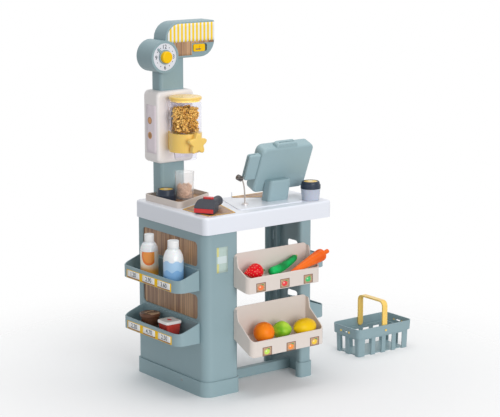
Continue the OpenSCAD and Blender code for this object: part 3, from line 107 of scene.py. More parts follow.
class StallColours(bpy.types.PropertyGroup):
    """Colours of the stall's plastics, prints and goods."""
    sage: colour_prop("Sage", "Panels, shelves, column and basket", "8CA4AA")
    # Till: a lighter copy of the sage, painted light for the till's back, which leans up towards
    # the light
    till: colour_prop("Till", "Till and card reader", "9AB3B9")
    white: colour_prop("White", "Counter and paddle wheel", "E7EAF2")
    beige: colour_prop("Beige", "Trays", "DCD1C9")
    # Housing: a paler, cooler copy of the tray beige, painted light that offsets the shade and warm
    # bounce on the housing front
    housing: colour_prop("Housing", "Dispenser housing", "EFE9E7")
    straw: colour_prop("Straw", "Dispenser base, knob and basket handle", "F8D06E")
    sun: colour_prop("Sun yellow", "Hub, slider, lines and price bands", "F9C60C")
    plank_light: colour_prop("Plank light", "Light grain of the printed planks", "C09872")
    plank_dark: colour_prop("Plank dark", "Dark grain of the printed planks", "74482F")
    navy: colour_prop("Navy", "Cup lids and printed numbers", "2C3646")
    graphite: colour_prop("Graphite", "Scanner body", "3B3D46")
    red: colour_prop("Red", "Scanner window and button", "D3161B")
    pasta: colour_prop("Pasta", "Filling of the hopper", "E9BE66")
    cereal: colour_prop("Cereal", "Filling of the clear cup", "DDB898")
    berry: colour_prop("Strawberry", "Strawberry skin", "E8081C")
    cucumber: colour_prop("Cucumber", "Cucumber skin", "12BC60")
    carrot: colour_prop("Carrot", "Carrot skin", "F3701C")
    orange: colour_prop("Orange", "Orange skin", "FD8A14")
    pepper: colour_prop("Pepper", "Green pepper skin", "BEE246")
    lemon: colour_prop("Lemon", "Lemon skin", "F2C70F")
    leaf: colour_prop("Leaf", "Leaves and stalks", "3F8E3A")
    cocoa: colour_prop("Cocoa", "Dessert tub", "5E361C")
    jelly: colour_prop("Jelly", "Jelly pot", "C9392B")
    milk_blue: colour_prop("Milk blue", "Milk label", "A9CFEF")


class StallSizes(bpy.types.PropertyGroup):
    """Sizes and counts of the prints and of the loose fillings."""
    stripe_w: length_prop("Stripe", "Width of one awning stripe", 5.95)
    scallop_d: length_prop("Scallop", "Drop of one scallop below the awning", 3.2)
    slat_w: length_prop("Slat", "Width of a printed slat behind the windows", 9.5)
    plank_w: length_prop("Plank", "Width of a printed plank on the counter", 13.0)
    print_t: length_prop("Print", "Thickness of a stuck-on print", 0.3)
    digit_h: length_prop("Price digits", "Height of the price digits", 11.5)
    pasta_l: length_prop("Pasta length", "Length of one spiral", 20.0)
    pasta_n: count_prop("Pasta count", "Spirals in the hopper", 380, 20)
    cereal_n: count_prop("Cereal count", "Rings in the clear cup", 120, 20)
    seed_n: count_prop("Seed count", "Seeds on the strawberry", 90, 10)


class StallStage(bpy.types.PropertyGroup):
    """Camera and studio light."""
    lens: number_prop("Lens", "Focal length on a 36 mm wide sensor", 122.47)
    key_power: number_prop("Key light", "Power of the front lamp in watts", 385.0)
    top_power: number_prop("Top light", "Power of the overhead lamp in watts", 64.0)
    sky: number_prop("Sky", "Strength of the even studio light", 0.48)


# Places on the solids

def ends(node):
    """Low and high corner of a solid's box."""
    return [np.asarray(corner, float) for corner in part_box(node)]


def upright(node):
    """Middle of the foot, radius along X and height of an upright solid, from its box."""
    lo, hi = ends(node)
    return np.array([*(lo + hi)[:2] / 2, lo[2]]), (hi[0] - lo[0]) / 2, hi[2] - lo[2]


# Surfaces

def around(n):
    """n + 1 angles round a full turn."""
    return np.linspace(0, FULL_TURN, n + 1)


def basis(axis):
    """Three unit vectors, the last along the axis."""
    z = np.asarray(axis, float) / np.linalg.norm(axis)
    h = np.array([0.0, 0.0, 1.0]) if abs(z[2]) < 0.9 else np.array([1.0, 0.0, 0.0])
    x = np.cross(h, z) / np.linalg.norm(np.cross(h, z))
    return x, np.cross(z, x), z


def unit(vectors):
    """Rows of an array at length 1."""
    return vectors / np.linalg.norm(vectors, axis=1)[:, None]


def eased(profile, times=2):
    """Corner cutting: each stretch keeps its middle half, so corners turn into short curves."""
    p = np.asarray(profile, float)
    for _ in range(times):
        cut = np.stack([0.75 * p[:-1] + 0.25 * p[1:], 0.25 * p[:-1] + 0.75 * p[1:]], 1)
        p = np.concatenate([p[:1], cut.reshape(-1, p.shape[1]), p[-1:]])
    return p


def corners(profile, d):
    """Profile with a point close to each side of every corner, so easing rounds only the corner."""
    p = np.asarray(profile, float)
    step = p[1:] - p[:-1]
    far = np.linalg.norm(step, axis=1)[:, None]
    near = np.minimum(d, far * 0.33) * step / far
    inner = np.stack([p[:-1] + near, p[1:] - near, p[1:]], 1).reshape(-1, 2)[:-1]
    return np.concatenate([p[:1], inner, p[-1:]])


def dense_ends(n):
    """n values from 0 to 1 that lie closer together towards both ends: (1 - cos a) / 2."""
    return (1 - np.cos(np.linspace(0, np.pi, n))) / 2


def turned(profile, centre=(0, 0, 0), axis=(0, 0, 1), turns=64, wave=None):
    """Surface of revolution: point (radius, height) goes round the axis.

    wave(angle) scales the radius.
    """
    k, a = np.asarray(profile, float), around(turns)
    x, y, z = basis(axis)
    r = k[None, :, 0] * (np.ones_like(a) if wave is None else wave(a))[:, None]
    return (np.asarray(centre, float) + (r * np.cos(a)[:, None])[..., None] * x
            + (r * np.sin(a)[:, None])[..., None] * y + k[None, :, 1, None] * z)


def ruled(low, high, steps=1):
    """Ruled sheet: straight lines join the curve low to the curve high, point by point."""
    t = np.linspace(0, 1, steps + 1)[None, :, None]
    return np.asarray(low, float)[:, None] * (1 - t) + np.asarray(high, float)[:, None] * t


def panel(corner, along, up, n=1, m=1):
    """Flat sheet corner + u along + v up."""
    u = np.linspace(0, 1, n + 1)[:, None, None]
    v = np.linspace(0, 1, m + 1)[None, :, None]
    return np.asarray(corner, float) + u * np.asarray(along, float) + v * np.asarray(up, float)


def swept(path, radius, sides=24):
    """Tube: a circle of the given radius at each point of a path in one upright plane."""
    p = np.asarray(path, float)
    d = unit(np.gradient(p, axis=0))
    side = np.cross(p[-1] - p[0], [0, 0, 1.0])
    side /= np.linalg.norm(side)
    up = np.cross(side, d)
    a = around(sides)[:, None, None]
    r = np.broadcast_to(radius, len(p))[None, :, None]
    return p[None] + r * (np.cos(a) * up[None] + np.sin(a) * side)


def outline_band(polygon, z, inner, outer, ease):
    """Flat band inside a polygon: both edges run parallel to its sides, with curved corners."""
    p = np.asarray(polygon, float)
    ahead, back = unit(np.roll(p, -1, 0) - p), unit(np.roll(p, 1, 0) - p)
    half = (ahead + back) / np.cross(ahead, back)[:, None]

    def edge(inset):
        q = p + inset * half
        ring = np.stack([q + back * ease, q, q + ahead * ease], 1).reshape(-1, 2)
        ring = eased(np.concatenate([ring, ring[:2]]), 3)[1:-1]
        ring = np.concatenate([ring, ring[:1]])
        return np.column_stack([ring, np.full(len(ring), z)])
    return ruled(edge(outer), edge(inner))


def spiral(length, half_width, rows=15, sides=5):
    """Pasta spiral: a flat ellipse carried along a straight line while it turns twice."""
    t = np.linspace(0, 1, rows)[:, None]
    a = around(sides)[None]
    turn = 2 * FULL_TURN * t
    taper = np.sqrt(np.clip(1 - (2 * t - 1) ** 8, 0.02, 1))
    u, v = half_width * taper * np.cos(a), 0.17 * half_width * taper * np.sin(a)
    return np.stack([u * np.cos(turn) - v * np.sin(turn), u * np.sin(turn) + v * np.cos(turn),
                     (t - 0.5) * length + 0 * a], -1)


def ring_shape(r, tube, steps=8, sides=5):
    """Cereal ring: a small circle carried round a larger one."""
    a, b = around(steps)[:, None], around(sides)[None]
    out = r + tube * np.cos(b)
    return np.stack([out * np.cos(a), out * np.sin(a), tube * np.sin(b) + 0 * a], -1)


def strewn(shape, places, turns):
    """Copies of one shape: each is turned by its own matrix and moved to its own place."""
    return np.einsum("nij,uvj->nuvi", turns, shape) + places[:, None, None, :]


def random_turns(rng, n):
    """Evenly spread rotations, from random unit quaternions."""
    w, x, y, z = unit(rng.normal(size=(n, 4))).T
    return np.stack([1 - 2 * (y * y + z * z), 2 * (x * y - w * z), 2 * (x * z + w * y),
                     2 * (x * y + w * z), 1 - 2 * (x * x + z * z), 2 * (y * z - w * x),
                     2 * (x * z - w * y), 2 * (y * z + w * x), 1 - 2 * (x * x + y * y)],
                    1).reshape(n, 3, 3)


# Objects

def linked(name, data):
    """New object of the data, in the scene."""
    obj = bpy.data.objects.new(name, data)
    bpy.context.scene.collection.objects.link(obj)
    return obj


def piece(name, body, layers, stands_for=None, closed=True, thick=0.0):
    """One object from layers (grid of points or stack of grids, finish).

    UV runs 0 to 1 along both parameters. A closed piece has its seams and poles merged and its
    faces turned outwards. The object stays at the origin and moves with the named body.
    """
    verts, faces, uvs, marks, at = [], [], [], [], 0
    mesh = bpy.data.meshes.new(name)
    for mark, (points, coat) in enumerate(layers):
        p = np.asarray(points, float)
        p = p.reshape((-1,) + p.shape[-3:])
        n, rows, cols = p.shape[:3]
        i, j = np.meshgrid(np.arange(rows - 1), np.arange(cols - 1), indexing="ij")
        first, after = i * cols + j, (i + 1) * cols + j
        quad = np.stack([first, after, after + 1, first + 1], -1).reshape(1, -1, 4)
        copies = (np.arange(n) * rows * cols)[:, None, None]
        faces.append((quad + copies).reshape(-1, 4) + at)
        u, v = np.meshgrid(np.linspace(0, 1, rows), np.linspace(0, 1, cols), indexing="ij")
        uvs.append(np.tile(np.stack([u, v], -1).reshape(-1, 2), (n, 1)))
        verts.append(p.reshape(-1, 3))
        marks.append(np.full(len(faces[-1]), mark))
        mesh.materials.append(coat)
        at += n * rows * cols
    verts, faces, uvs = np.concatenate(verts), np.concatenate(faces), np.concatenate(uvs)
    mesh.vertices.add(len(verts))
    mesh.vertices.foreach_set("co", verts.ravel())
    mesh.loops.add(faces.size)
    mesh.loops.foreach_set("vertex_index", faces.ravel())
    mesh.polygons.add(len(faces))
    mesh.polygons.foreach_set("loop_start", np.arange(len(faces)) * 4)
    mesh.polygons.foreach_set("material_index", np.concatenate(marks))
    mesh.update(calc_edges=True)
    mesh.uv_layers.new(name="UVMap").data.foreach_set("uv", uvs[faces.ravel()].ravel())
    bm = bmesh.new()
    bm.from_mesh(mesh)
    if closed:
        bmesh.ops.remove_doubles(bm, verts=bm.verts, dist=1e-6)
        bmesh.ops.dissolve_degenerate(bm, edges=bm.edges, dist=1e-7)
        bmesh.ops.recalc_face_normals(bm, faces=bm.faces)
    bm.to_mesh(mesh)
    bm.free()
    mesh.validate()
    mesh.shade_smooth()
    mesh.set_sharp_from_angle(angle=CREASE)
    seat(name, mesh, body, stands_for, thick)


def seat(name, mesh, body, stands_for=None, thick=0.0):
    """Object of a mesh that rides on a body, with a sheet's thickness laid inwards."""
    obj = linked(name, mesh)
    if thick:
        wall = obj.modifiers.new("Thickness", "SOLIDIFY")
        wall.thickness, wall.offset = thick, -1
    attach(obj, body)
    if stands_for:
        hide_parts(stands_for)


def lettering(name, body, words, coat, weight=0.0):
    """Plain figures laid flat on faces, from (text, centre, right, up, height) of each."""
    verts, faces, at = [], [], 0
    for text, centre, right, up, height in words:
        curve = bpy.data.curves.new(name, "FONT")
        curve.body, curve.align_x, curve.align_y, curve.size = text, "CENTER", "CENTER", 1.0
        curve.offset = weight
        holder = linked(name + ".text", curve)
        depsgraph = bpy.context.evaluated_depsgraph_get()
        flat = bpy.data.meshes.new_from_object(holder.evaluated_get(depsgraph))
        co = np.empty(len(flat.vertices) * 3)
        flat.vertices.foreach_get("co", co)
        co = co.reshape(-1, 3)
        co = (co - (co.min(0) + co.max(0)) / 2) * height / CAPITAL
        verts.append(np.asarray(centre, float) + co[:, :1] * np.asarray(right, float)
                     + co[:, 1:2] * np.asarray(up, float))
        faces += [[v + at for v in f.vertices] for f in flat.polygons]
        at += len(co)
        bpy.data.objects.remove(holder)
        bpy.data.meshes.remove(flat)
        bpy.data.curves.remove(curve)
    mesh = bpy.data.meshes.new(name)
    mesh.from_pydata(np.concatenate(verts).tolist(), [], faces)
    mesh.materials.append(coat)
    mesh.validate()
    seat(name, mesh, body)


def dress(coat, *nodes):
    """Gives solids of the frame their finish, and even shading across facets at a small angle."""
    for node in nodes:
        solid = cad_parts[node]
        solid.data.materials.clear()
        solid.data.materials.append(coat)
        solid.modifiers.new("Join facets", "WELD").merge_threshold = 0.005 * MM
        solid.modifiers.new("Hard edges", "EDGE_SPLIT").split_angle = FACET
        solid.modifiers.new("Even shading", "WEIGHTED_NORMAL")


# Finishes

class Wire:
    """Adds nodes to a shader tree and links them."""

    def __init__(self, tree):
        self.tree = tree

    def feed(self, node, inputs):
        """Node whose inputs are linked or set."""
        for key, value in inputs.items():
            if isinstance(value, bpy.types.NodeSocket):
                self.tree.links.new(value, node.inputs[key])
            else:
                node.inputs[key].default_value = value
        return node

    def add(self, kind, inputs=None, **settings):
        """New node of a kind, with its settings and inputs."""
        node = self.tree.nodes.new(kind)
        for key, value in settings.items():
            setattr(node, key, value)
        return self.feed(node, inputs or {})

    def calc(self, op, a, b=0.0):
        """Value of one arithmetic step."""
        return self.add("ShaderNodeMath", {0: a, 1: b, 2: 0.0}, operation=op).outputs[0]

    def plus(self, a, b):
        """a + b."""
        return self.calc("ADD", a, b)

    def minus(self, a, b):
        """a - b."""
        return self.calc("SUBTRACT", a, b)

    def times(self, a, b):
        """a b."""
        return self.calc("MULTIPLY", a, b)

    def over(self, a, b):
        """1 where a is greater than b, and 0 elsewhere."""
        return self.calc("GREATER_THAN", a, b)

    def span(self, value, low, high):
        """1 between low and high, and 0 elsewhere."""
        return self.times(self.over(value, low), self.calc("LESS_THAN", value, high))

    def far(self, dx, dy):
        """Length of (dx, dy)."""
        return self.calc("SQRT", self.plus(self.times(dx, dx), self.times(dy, dy)))

    def ramp(self, value, low, high):
        """0 at low and 1 at high, eased at both ends."""
        return self.add("ShaderNodeMapRange", {"Value": value, "From Min": low, "From Max": high},
                        interpolation_type="SMOOTHSTEP").outputs[0]

    def disc(self, uv, x, y, r, flat=1.0):
        """1 inside a disc in UV round (x, y), whose v runs flat times as fast as its u."""
        d = self.far(self.minus(uv[0], x), self.times(self.minus(uv[1], y), flat))
        return self.ramp(d, r + 0.015, r - 0.015)

    def mix(self, share, a, b, blend="MIX"):
        """Colour between a and b, which are sockets, colours or what shade() takes."""
        a, b = (shade(v) if isinstance(v, str) else v for v in (a, b))
        return self.add("ShaderNodeMix", {0: share, 6: a, 7: b}, data_type="RGBA",
                        blend_type=blend).outputs[2]

    def noise(self, vector, scale, detail=2.0, rough=0.5):
        """Value of a noise field."""
        return self.add("ShaderNodeTexNoise", {"Vector": vector, "Scale": scale, "Detail": detail,
                                               "Roughness": rough}).outputs[0]

    def scaled(self, vector, scale):
        """Vector with each part scaled."""
        return self.add("ShaderNodeMapping", {"Vector": vector, "Scale": scale}).outputs[0]

    def bump(self, height, strength, distance):
        """Normal that follows a height."""
        return self.add("ShaderNodeBump", {"Height": height, "Strength": strength,
                                           "Distance": distance}).outputs[0]

    def place(self):
        """Object coordinates and their three parts."""
        co = self.add("ShaderNodeTexCoord").outputs["Object"]
        return co, self.add("ShaderNodeSeparateXYZ", {0: co}).outputs

    def blend(self, end, share, first, second):
        """Ends the tree with a mix of two shaders."""
        both = self.add("ShaderNodeMixShader", {0: share, 1: first, 2: second}).outputs[0]
        self.feed(self.tree.nodes[end], {0: both})


def shade(colour):
    """Opaque colour from a colour property's name, a written screen colour or linear parts."""
    if isinstance(colour, str):
        own = getattr(bpy.context.scene.stall_colours, colour, None)
        colour = tint(colour) if own is None else own
    return (*colour[:3], 1.0)


def skin(name, inputs, build):
    """Shader node group from inputs with defaults to colour, roughness and height."""
    if name in bpy.data.node_groups:
        return bpy.data.node_groups[name]
    tree = bpy.data.node_groups.new(name, "ShaderNodeTree")
    sockets = tree.interface.new_socket
    for label, value in inputs.items():
        kind = "NodeSocketColor" if isinstance(value, tuple) else "NodeSocketFloat"
        sockets(label, in_out="INPUT", socket_type=kind).default_value = value
    for label, kind in (("Colour", "Color"), ("Roughness", "Float"), ("Height", "Float")):
        sockets(label, in_out="OUTPUT", socket_type="NodeSocket" + kind)
    wire = Wire(tree)
    colour, rough, height = build(wire, tree.nodes.new("NodeGroupInput").outputs)
    wire.add("NodeGroupOutput", {"Colour": colour, "Roughness": rough, "Height": height})
    return tree


def moulded_skin():
    """Moulded plastic: spark grain, faint flow streaks in the gloss, slow drift in the colour."""
    def build(w, i):
        co, _ = w.place()
        drift = w.noise(co, 9.0, 3.0)
        streak = w.noise(w.scaled(co, (36, 36, 5)), 1.0)
        grain = w.noise(co, i["Grain"], 2.0, 0.6)
        scuff = w.times(w.ramp(w.noise(co, 160.0, 3.0, 0.6), 0.64, 0.78), 0.02)
        dark = w.mix(1.0, i["Colour"], (0.72, 0.74, 0.76, 1), "MULTIPLY")
        drift = w.times(w.minus(drift, 0.5), i["Drift"])
        gloss = w.plus(i["Roughness"], w.times(w.minus(streak, 0.5), 0.08))
        return w.mix(w.plus(drift, scuff), i["Colour"], dark), w.plus(gloss, scuff), grain
    return skin("Moulded skin", {"Colour": (0.5, 0.5, 0.5, 1), "Roughness": 0.4, "Grain": 900.0,
                                 "Drift": 0.5}, build)


def printed_planks():
    """Printed planks: a line between neighbours, a tone for each and grain drawn out along it."""
    def build(w, i):
        step = w.calc("DIVIDE", i["Across"], i["Width"])
        number, part = w.calc("FLOOR", step), w.calc("FRACT", step)
        tone = w.add("ShaderNodeTexWhiteNoise", {"W": number}, noise_dimensions="1D").outputs[0]
        spot = w.add("ShaderNodeCombineXYZ", {0: w.times(i["Across"], 420.0),
                                              1: w.times(i["Along"], 14.0),
                                              2: w.times(number, 7.3)}).outputs[0]
        fibre = w.noise(spot, 1.0, 4.0, 0.65)
        knot = w.noise(spot, 0.22)
        edge = w.calc("MINIMUM", part, w.minus(1.0, part))
        line = w.minus(1.0, w.ramp(edge, 0.02, 0.10))
        mixed = w.plus(w.times(fibre, 0.7), w.times(w.minus(tone, 0.5), 0.45))
        mixed = w.plus(mixed, w.times(w.minus(knot, 0.5), 0.5))
        colour = w.mix(w.ramp(mixed, 0.1, 0.75), i["Light"], i["Dark"])
        gap = w.mix(1.0, i["Dark"], (0.45, 0.4, 0.38, 1), "MULTIPLY")
        return (w.mix(w.times(line, 0.75), colour, gap), w.plus(0.38, w.times(fibre, 0.25)),
                w.minus(w.times(fibre, 0.4), line))
    return skin("Printed planks", {"Across": 0.0, "Along": 0.0, "Width": 0.01,
                                   "Light": (0.5, 0.4, 0.3, 1), "Dark": (0.2, 0.1, 0.05, 1)}, build)


def fruit_skin():
    """Play food: pores by the distance to scattered points, and a blush that drifts over it."""
    def build(w, i):
        co, _ = w.place()
        pore = w.add("ShaderNodeTexVoronoi", {"Vector": co, "Scale": i["Pores"]})
        pit = w.ramp(pore.outputs["Distance"], 0.0, 0.45)
        colour = w.mix(w.ramp(w.noise(co, 28.0, 3.0), 0.35, 0.75), i["Colour"], i["Blush"])
        colour = w.mix(w.times(w.minus(1.0, pit), 0.22), colour, i["Blush"])
        return colour, w.plus(i["Roughness"], w.times(w.noise(co, 60.0), 0.12)), pit
    return skin("Fruit skin", {"Colour": (1, 0.5, 0, 1), "Blush": (0.9, 0.3, 0, 1),
                               "Pores": 500.0, "Roughness": 0.3}, build)


def finish(name, **sockets):
    """Material with one shader whose sockets are set."""
    mat = bpy.data.materials.new(name)
    mat.use_nodes = True
    wire = Wire(mat.node_tree)
    values = {key.replace("_", " "): value for key, value in sockets.items()}
    return mat, wire, wire.feed(mat.node_tree.nodes["Principled BSDF"], values)


def skinned(name, group, values, bump, depth, **sockets):
    """Material, made once, with its colour, gloss and relief from a skin fed by values(wire)."""
    if name in bpy.data.materials:
        return bpy.data.materials[name]
    mat, wire, shader = finish(name, **sockets)
    made = wire.add("ShaderNodeGroup", node_tree=group)
    out = wire.feed(made, values(wire)).outputs
    wire.feed(shader, {"Base Color": out["Colour"], "Roughness": out["Roughness"],
                       "Normal": wire.bump(out["Height"], bump, depth)})
    return mat


# Name: colour, roughness, grain per metre, drift of the colour, relief, other shader inputs
PLASTICS = {
    "Sage plastic": ("sage", 0.46, 1100.0, 0.45, 0.16, {}),
    "Basket sage": ("sage", 0.40, 1000.0, 0.3, 0.15, {}),
    # Till lit sage: the sage lightened, as painted light on the leaning till
    "Till lit sage": ("till", 0.46, 1100.0, 0.45, 0.16, {}),
    "White plastic": ("white", 0.30, 1300.0, 0.18, 0.08, {"Coat_Weight": 0.15}),
    "Wheel white": ("white", 0.35, 900.0, 0.5, 0.12, {}),
    "Dial white": ("E0E2EA", 0.35, 1500.0, 0.1, 0.05, {}),
    "Beige plastic": ("beige", 0.44, 1100.0, 0.3, 0.12, {}),
    # Housing lit beige: the tray beige lightened, as painted light on the housing
    "Housing lit beige": ("housing", 0.44, 1100.0, 0.3, 0.12, {}),
    "Straw plastic": ("straw", 0.28, 1200.0, 0.3, 0.06, {
        "Subsurface_Weight": 0.15, "Subsurface_Radius": (0.02, 0.014, 0.004),
        "Subsurface_Scale": 0.1, "Specular_IOR_Level": 0.3, "Coat_Weight": 0.2}),
    "Sun plastic": ("sun", 0.32, 1100.0, 0.3, 0.10, {"Specular_IOR_Level": 0.17}),
    "Yellow line": ("sun", 0.4, 1500.0, 0.2, 0.05, {}),
    "Price yellow": ("sun", 0.5, 1500.0, 0.1, 0.04, {"Specular_IOR_Level": 0.2}),
    "Price card": ("F4F4F2", 0.4, 1500.0, 0.1, 0.03, {}),
    "Price edge": ("9A6A4A", 0.5, 900.0, 0.5, 0.1, {}),
    "Navy ink": ("navy", 0.45, 1500.0, 0.1, 0.03, {}),
    "Navy plastic": ("navy", 0.34, 1200.0, 0.3, 0.1, {"Specular_IOR_Level": 0.3}),
    "Graphite plastic": ("graphite", 0.5, 1500.0, 0.3, 0.3, {"Specular_IOR_Level": 0.3}),
    # Groove shade: near-black, painted shade of the slider's groove
    "Groove shade": ((0.09, 0.09, 0.10), 0.5, 900.0, 0.5, 0.12, {}),
    "Screw steel": ((0.32, 0.33, 0.34), 0.3, 3000.0, 0.2, 0.1, {"Metallic": 1.0}),
    "Screen glass": ((0.012, 0.014, 0.016), 0.12, 2500.0, 0.1, 0.02, {"Coat_Weight": 0.6}),
    "Screen figures": ("8FE0C8", 0.4, 2000.0, 0.1, 0.02, {}),
    "Red plastic": ("red", 0.22, 1200.0, 0.2, 0.05, {"Coat_Weight": 0.3}),
    "Jelly mark": ("red", 0.3, 900.0, 0.5, 0.12, {}),
    "Milky plastic": ("C9C6D2", 0.3, 1300.0, 0.2, 0.05, {"Subsurface_Weight": 0.2}),
    "Bottle white": ("F1F2F4", 0.24, 1500.0, 0.12, 0.04, {"Coat_Weight": 0.3,
                                                          "Subsurface_Weight": 0.1}),
    "Cap white": ("F6F6F6", 0.32, 1300.0, 0.1, 0.05, {}),
}

# Name: colour, blush, pores per metre, roughness, relief
FOODS = {
    "Pasta": ("pasta", "CB9640", 260.0, 0.5, 0.3),
    # Pasta painted shade: darker brown for the core inside the spirals, painted shade in the gaps
    # between them
    "Pasta painted shade": ("8C6226", "5C3D18", 260.0, 0.7, 0.3),
    "Cereal": ("cereal", "B98A68", 400.0, 0.6, 0.4),
    "Strawberry": ("berry", "C80618", 300.0, 0.22, 0.2),
    "Strawberry stalk": ("leaf", "2F6E2C", 500.0, 0.28, 0.25),
    "Seeds": ("F6C49A", "EBA878", 500.0, 0.28, 0.25),
    "Cucumber": ("cucumber", "0B7437", 170.0, 0.3, 0.5),
    "Cucumber end": ("C9B23C", "8E9A2E", 500.0, 0.28, 0.25),
    "Carrot": ("carrot", "E85C10", 220.0, 0.26, 0.2),
    "Orange": ("orange", "EE6A08", 620.0, 0.27, 0.5),
    "Pepper": ("pepper", "6FB51E", 120.0, 0.2, 0.12),
    "Lemon": ("lemon", "E8B408", 520.0, 0.26, 0.4),
}


def plastic(name):
    """Moulded plastic of the table."""
    colour, rough, grain, drift, bump, sockets = PLASTICS[name]
    return skinned(name, moulded_skin(), lambda w: {
        "Colour": shade(colour), "Roughness": rough, "Grain": grain, "Drift": drift},
        bump, 0.0003, **sockets)


def fruit(name):
    """Soft glossy skin of the table's play food."""
    colour, blush, pores, rough, bump = FOODS[name]
    return skinned(name, fruit_skin(), lambda w: {
        "Colour": shade(colour), "Blush": shade(blush), "Pores": pores, "Roughness": rough},
        bump, 0.0004, Specular_IOR_Level=0.17)


def planks(name, across, along, width):
    """Printed planks whose width runs along one axis and whose grain runs along another."""
    def values(wire):
        xyz = wire.place()[1]
        return {"Across": xyz[across], "Along": xyz[along], "Width": width,
                "Light": shade("plank_light"), "Dark": shade("plank_dark")}
    return skinned(name, printed_planks(), values, 0.25, 0.0003, Coat_Weight=0.25,
                   Coat_Roughness=0.2)


def clear(name, colour, rough, ior=1.15, weight=1.0):
    """Clear plastic: light and lamp light pass, with fine flow marks in the gloss."""
    mat, wire, shader = finish(name, Base_Color=shade(colour), IOR=ior, Transmission_Weight=weight)
    flow = wire.noise(wire.scaled(wire.place()[0], (60, 60, 12)), 1.0, 3.0)
    wire.feed(shader, {"Roughness": wire.plus(rough, wire.times(flow, 0.08)),
                       "Normal": wire.bump(flow, 0.06, 0.0004)})
    shadow = wire.add("ShaderNodeLightPath").outputs["Is Shadow Ray"]
    passed = wire.add("ShaderNodeBsdfTransparent", {0: shade(colour)}).outputs[0]
    wire.blend("Material Output", shadow, shader.outputs[0], passed)
    return mat


def painted(name, paint, rough=0.4, **sockets):
    """Print coloured by paint(wire, uv parts, object parts), under a fine paper grain."""
    mat, wire, shader = finish(name, **sockets)
    co, xyz = wire.place()
    uv = wire.add("ShaderNodeTexCoord").outputs["UV"]
    colour = paint(wire, wire.add("ShaderNodeSeparateXYZ", {0: uv}).outputs, xyz)
    fibre = wire.noise(co, 1400.0)
    worn = wire.times(wire.noise(co, 45.0, 3.0), 0.05)
    wire.feed(shader, {"Base Color": wire.mix(worn, colour, (0.82, 0.8, 0.78, 1)),
                       "Roughness": wire.plus(rough - 0.06, wire.times(fibre, 0.12)),
                       "Normal": wire.bump(fibre, 0.08, 0.0001)})
    return mat


# Prints

def stripe_paint(width, first, second):
    """Upright stripes of two colours, each about one width across, from the object's own X."""
    def paint(w, uv, xyz):
        pair = w.calc("FRACT", w.calc("DIVIDE", xyz[X], 2 * width))
        return w.mix(w.over(pair, 0.54), first, second)
    return paint


def card_paint(fruit_colour):
    """Goods card: a plank-coloured field and frame, a round fruit and a leaf, by distance in UV."""
    def paint(w, uv, xyz):
        light, dark = "plank_light", "plank_dark"
        side = [w.calc("MINIMUM", part, w.minus(1.0, part)) for part in uv[:2]]
        edge = w.calc("MINIMUM", *side)
        slat = w.over(w.calc("FRACT", w.times(uv[1], 5.0)), 0.12)
        field = w.mix(w.calc("LESS_THAN", edge, 0.07), w.mix(slat, dark, light), dark)
        field = w.mix(w.disc(uv, 0.66, 0.76, 0.13, 1.8), field, "leaf")
        field = w.mix(w.disc(uv, 0.48, 0.45, 0.29), field, fruit_colour)
        return w.mix(w.times(w.disc(uv, 0.40, 0.54, 0.09), 0.45), field, (1, 1, 0.95, 1))
    return paint


def biscuit_paint(flat):
    """Plain field with two round biscuits, one above the other, each with a rim."""
    def paint(w, uv, xyz):
        colour, crumb, crust = "EDE0E6", "DD9A5C", "A5702A"
        for v, inner, rim in ((0.674, crumb, crust), (0.364, crust, crumb)):
            colour = w.mix(w.disc(uv, 0.36, v, 0.21, flat), colour, rim)
            colour = w.mix(w.disc(uv, 0.36, v, 0.16, flat), colour, inner)
        return colour
    return paint


def plate_paint(w, uv, xyz):
    """Plain plate: two blocks with an edge stripe and fine lines, and a paler block between."""
    field, middle, edge = "B3C8C0", "CEDCDC", "D3CE80"
    ends_share = w.minus(1.0, w.span(uv[1], 0.36, 0.64))
    fine = w.times(w.span(w.calc("FRACT", w.times(uv[0], 8.0)), 0.3, 0.6),
                   w.span(uv[0], 0.22, 0.64))
    colour = w.mix(w.times(fine, 0.35), field, middle)
    colour = w.mix(w.span(uv[0], 0.05, 0.22), colour, edge)
    return w.mix(ends_share, w.mix(w.span(uv[0], 0.12, 0.94), field, middle), colour)


def height_paint(steps, slots_from, pitch):
    """Colours that change at given heights, with dark slots at an even pitch above one height."""
    def paint(w, uv, xyz):
        colour = steps[0][1]
        for z, code in steps[1:]:
            share = w.ramp(xyz[Z], z - 0.5 * MM, z + 0.5 * MM)
            colour = w.mix(share, colour, code)
        part = w.calc("FRACT", w.calc("DIVIDE", w.minus(xyz[Z], slots_from), pitch))
        slot = w.times(w.span(part, 0.25, 0.65), w.over(xyz[Z], slots_from))
        return w.mix(w.times(slot, 0.8), colour, (0.03, 0.025, 0.025, 1))
    return paint


def lid_paint(w, uv, xyz):
    """Cream middle with a yellow ring."""
    return w.mix(w.over(uv[1], 0.16), "F4EFE2", "sun")


def juice_paint(w, uv, xyz):
    """Orange foot that fades to cream, with a large round fruit on two sides."""
    field = w.mix(w.ramp(uv[1], 0.15, 0.55), "F6A52E", "FAF0DC")
    dx = w.times(w.minus(w.calc("FRACT", w.times(uv[0], 2.0)), 0.795), 1.35)
    d = w.far(dx, w.minus(uv[1], 0.84))
    field = w.mix(w.ramp(d, 0.40, 0.385), field, "F07818")
    return w.mix(w.ramp(d, 0.30, 0.285), field, "F79A3B")


def milk_paint(w, uv, xyz):
    """Two blues under white, parted by wavy splashes."""
    wave = w.times(w.calc("SINE", w.times(uv[0], 37.7)), 0.05)
    splash = w.plus(w.plus(uv[1], wave), w.times(w.noise(w.place()[0], 70.0), 0.16))
    field = w.mix(w.ramp(splash, 1.06, 1.02), "F3F4F6", "milk_blue")
    return w.mix(w.ramp(splash, 0.66, 0.63), field, "7FB4E4")


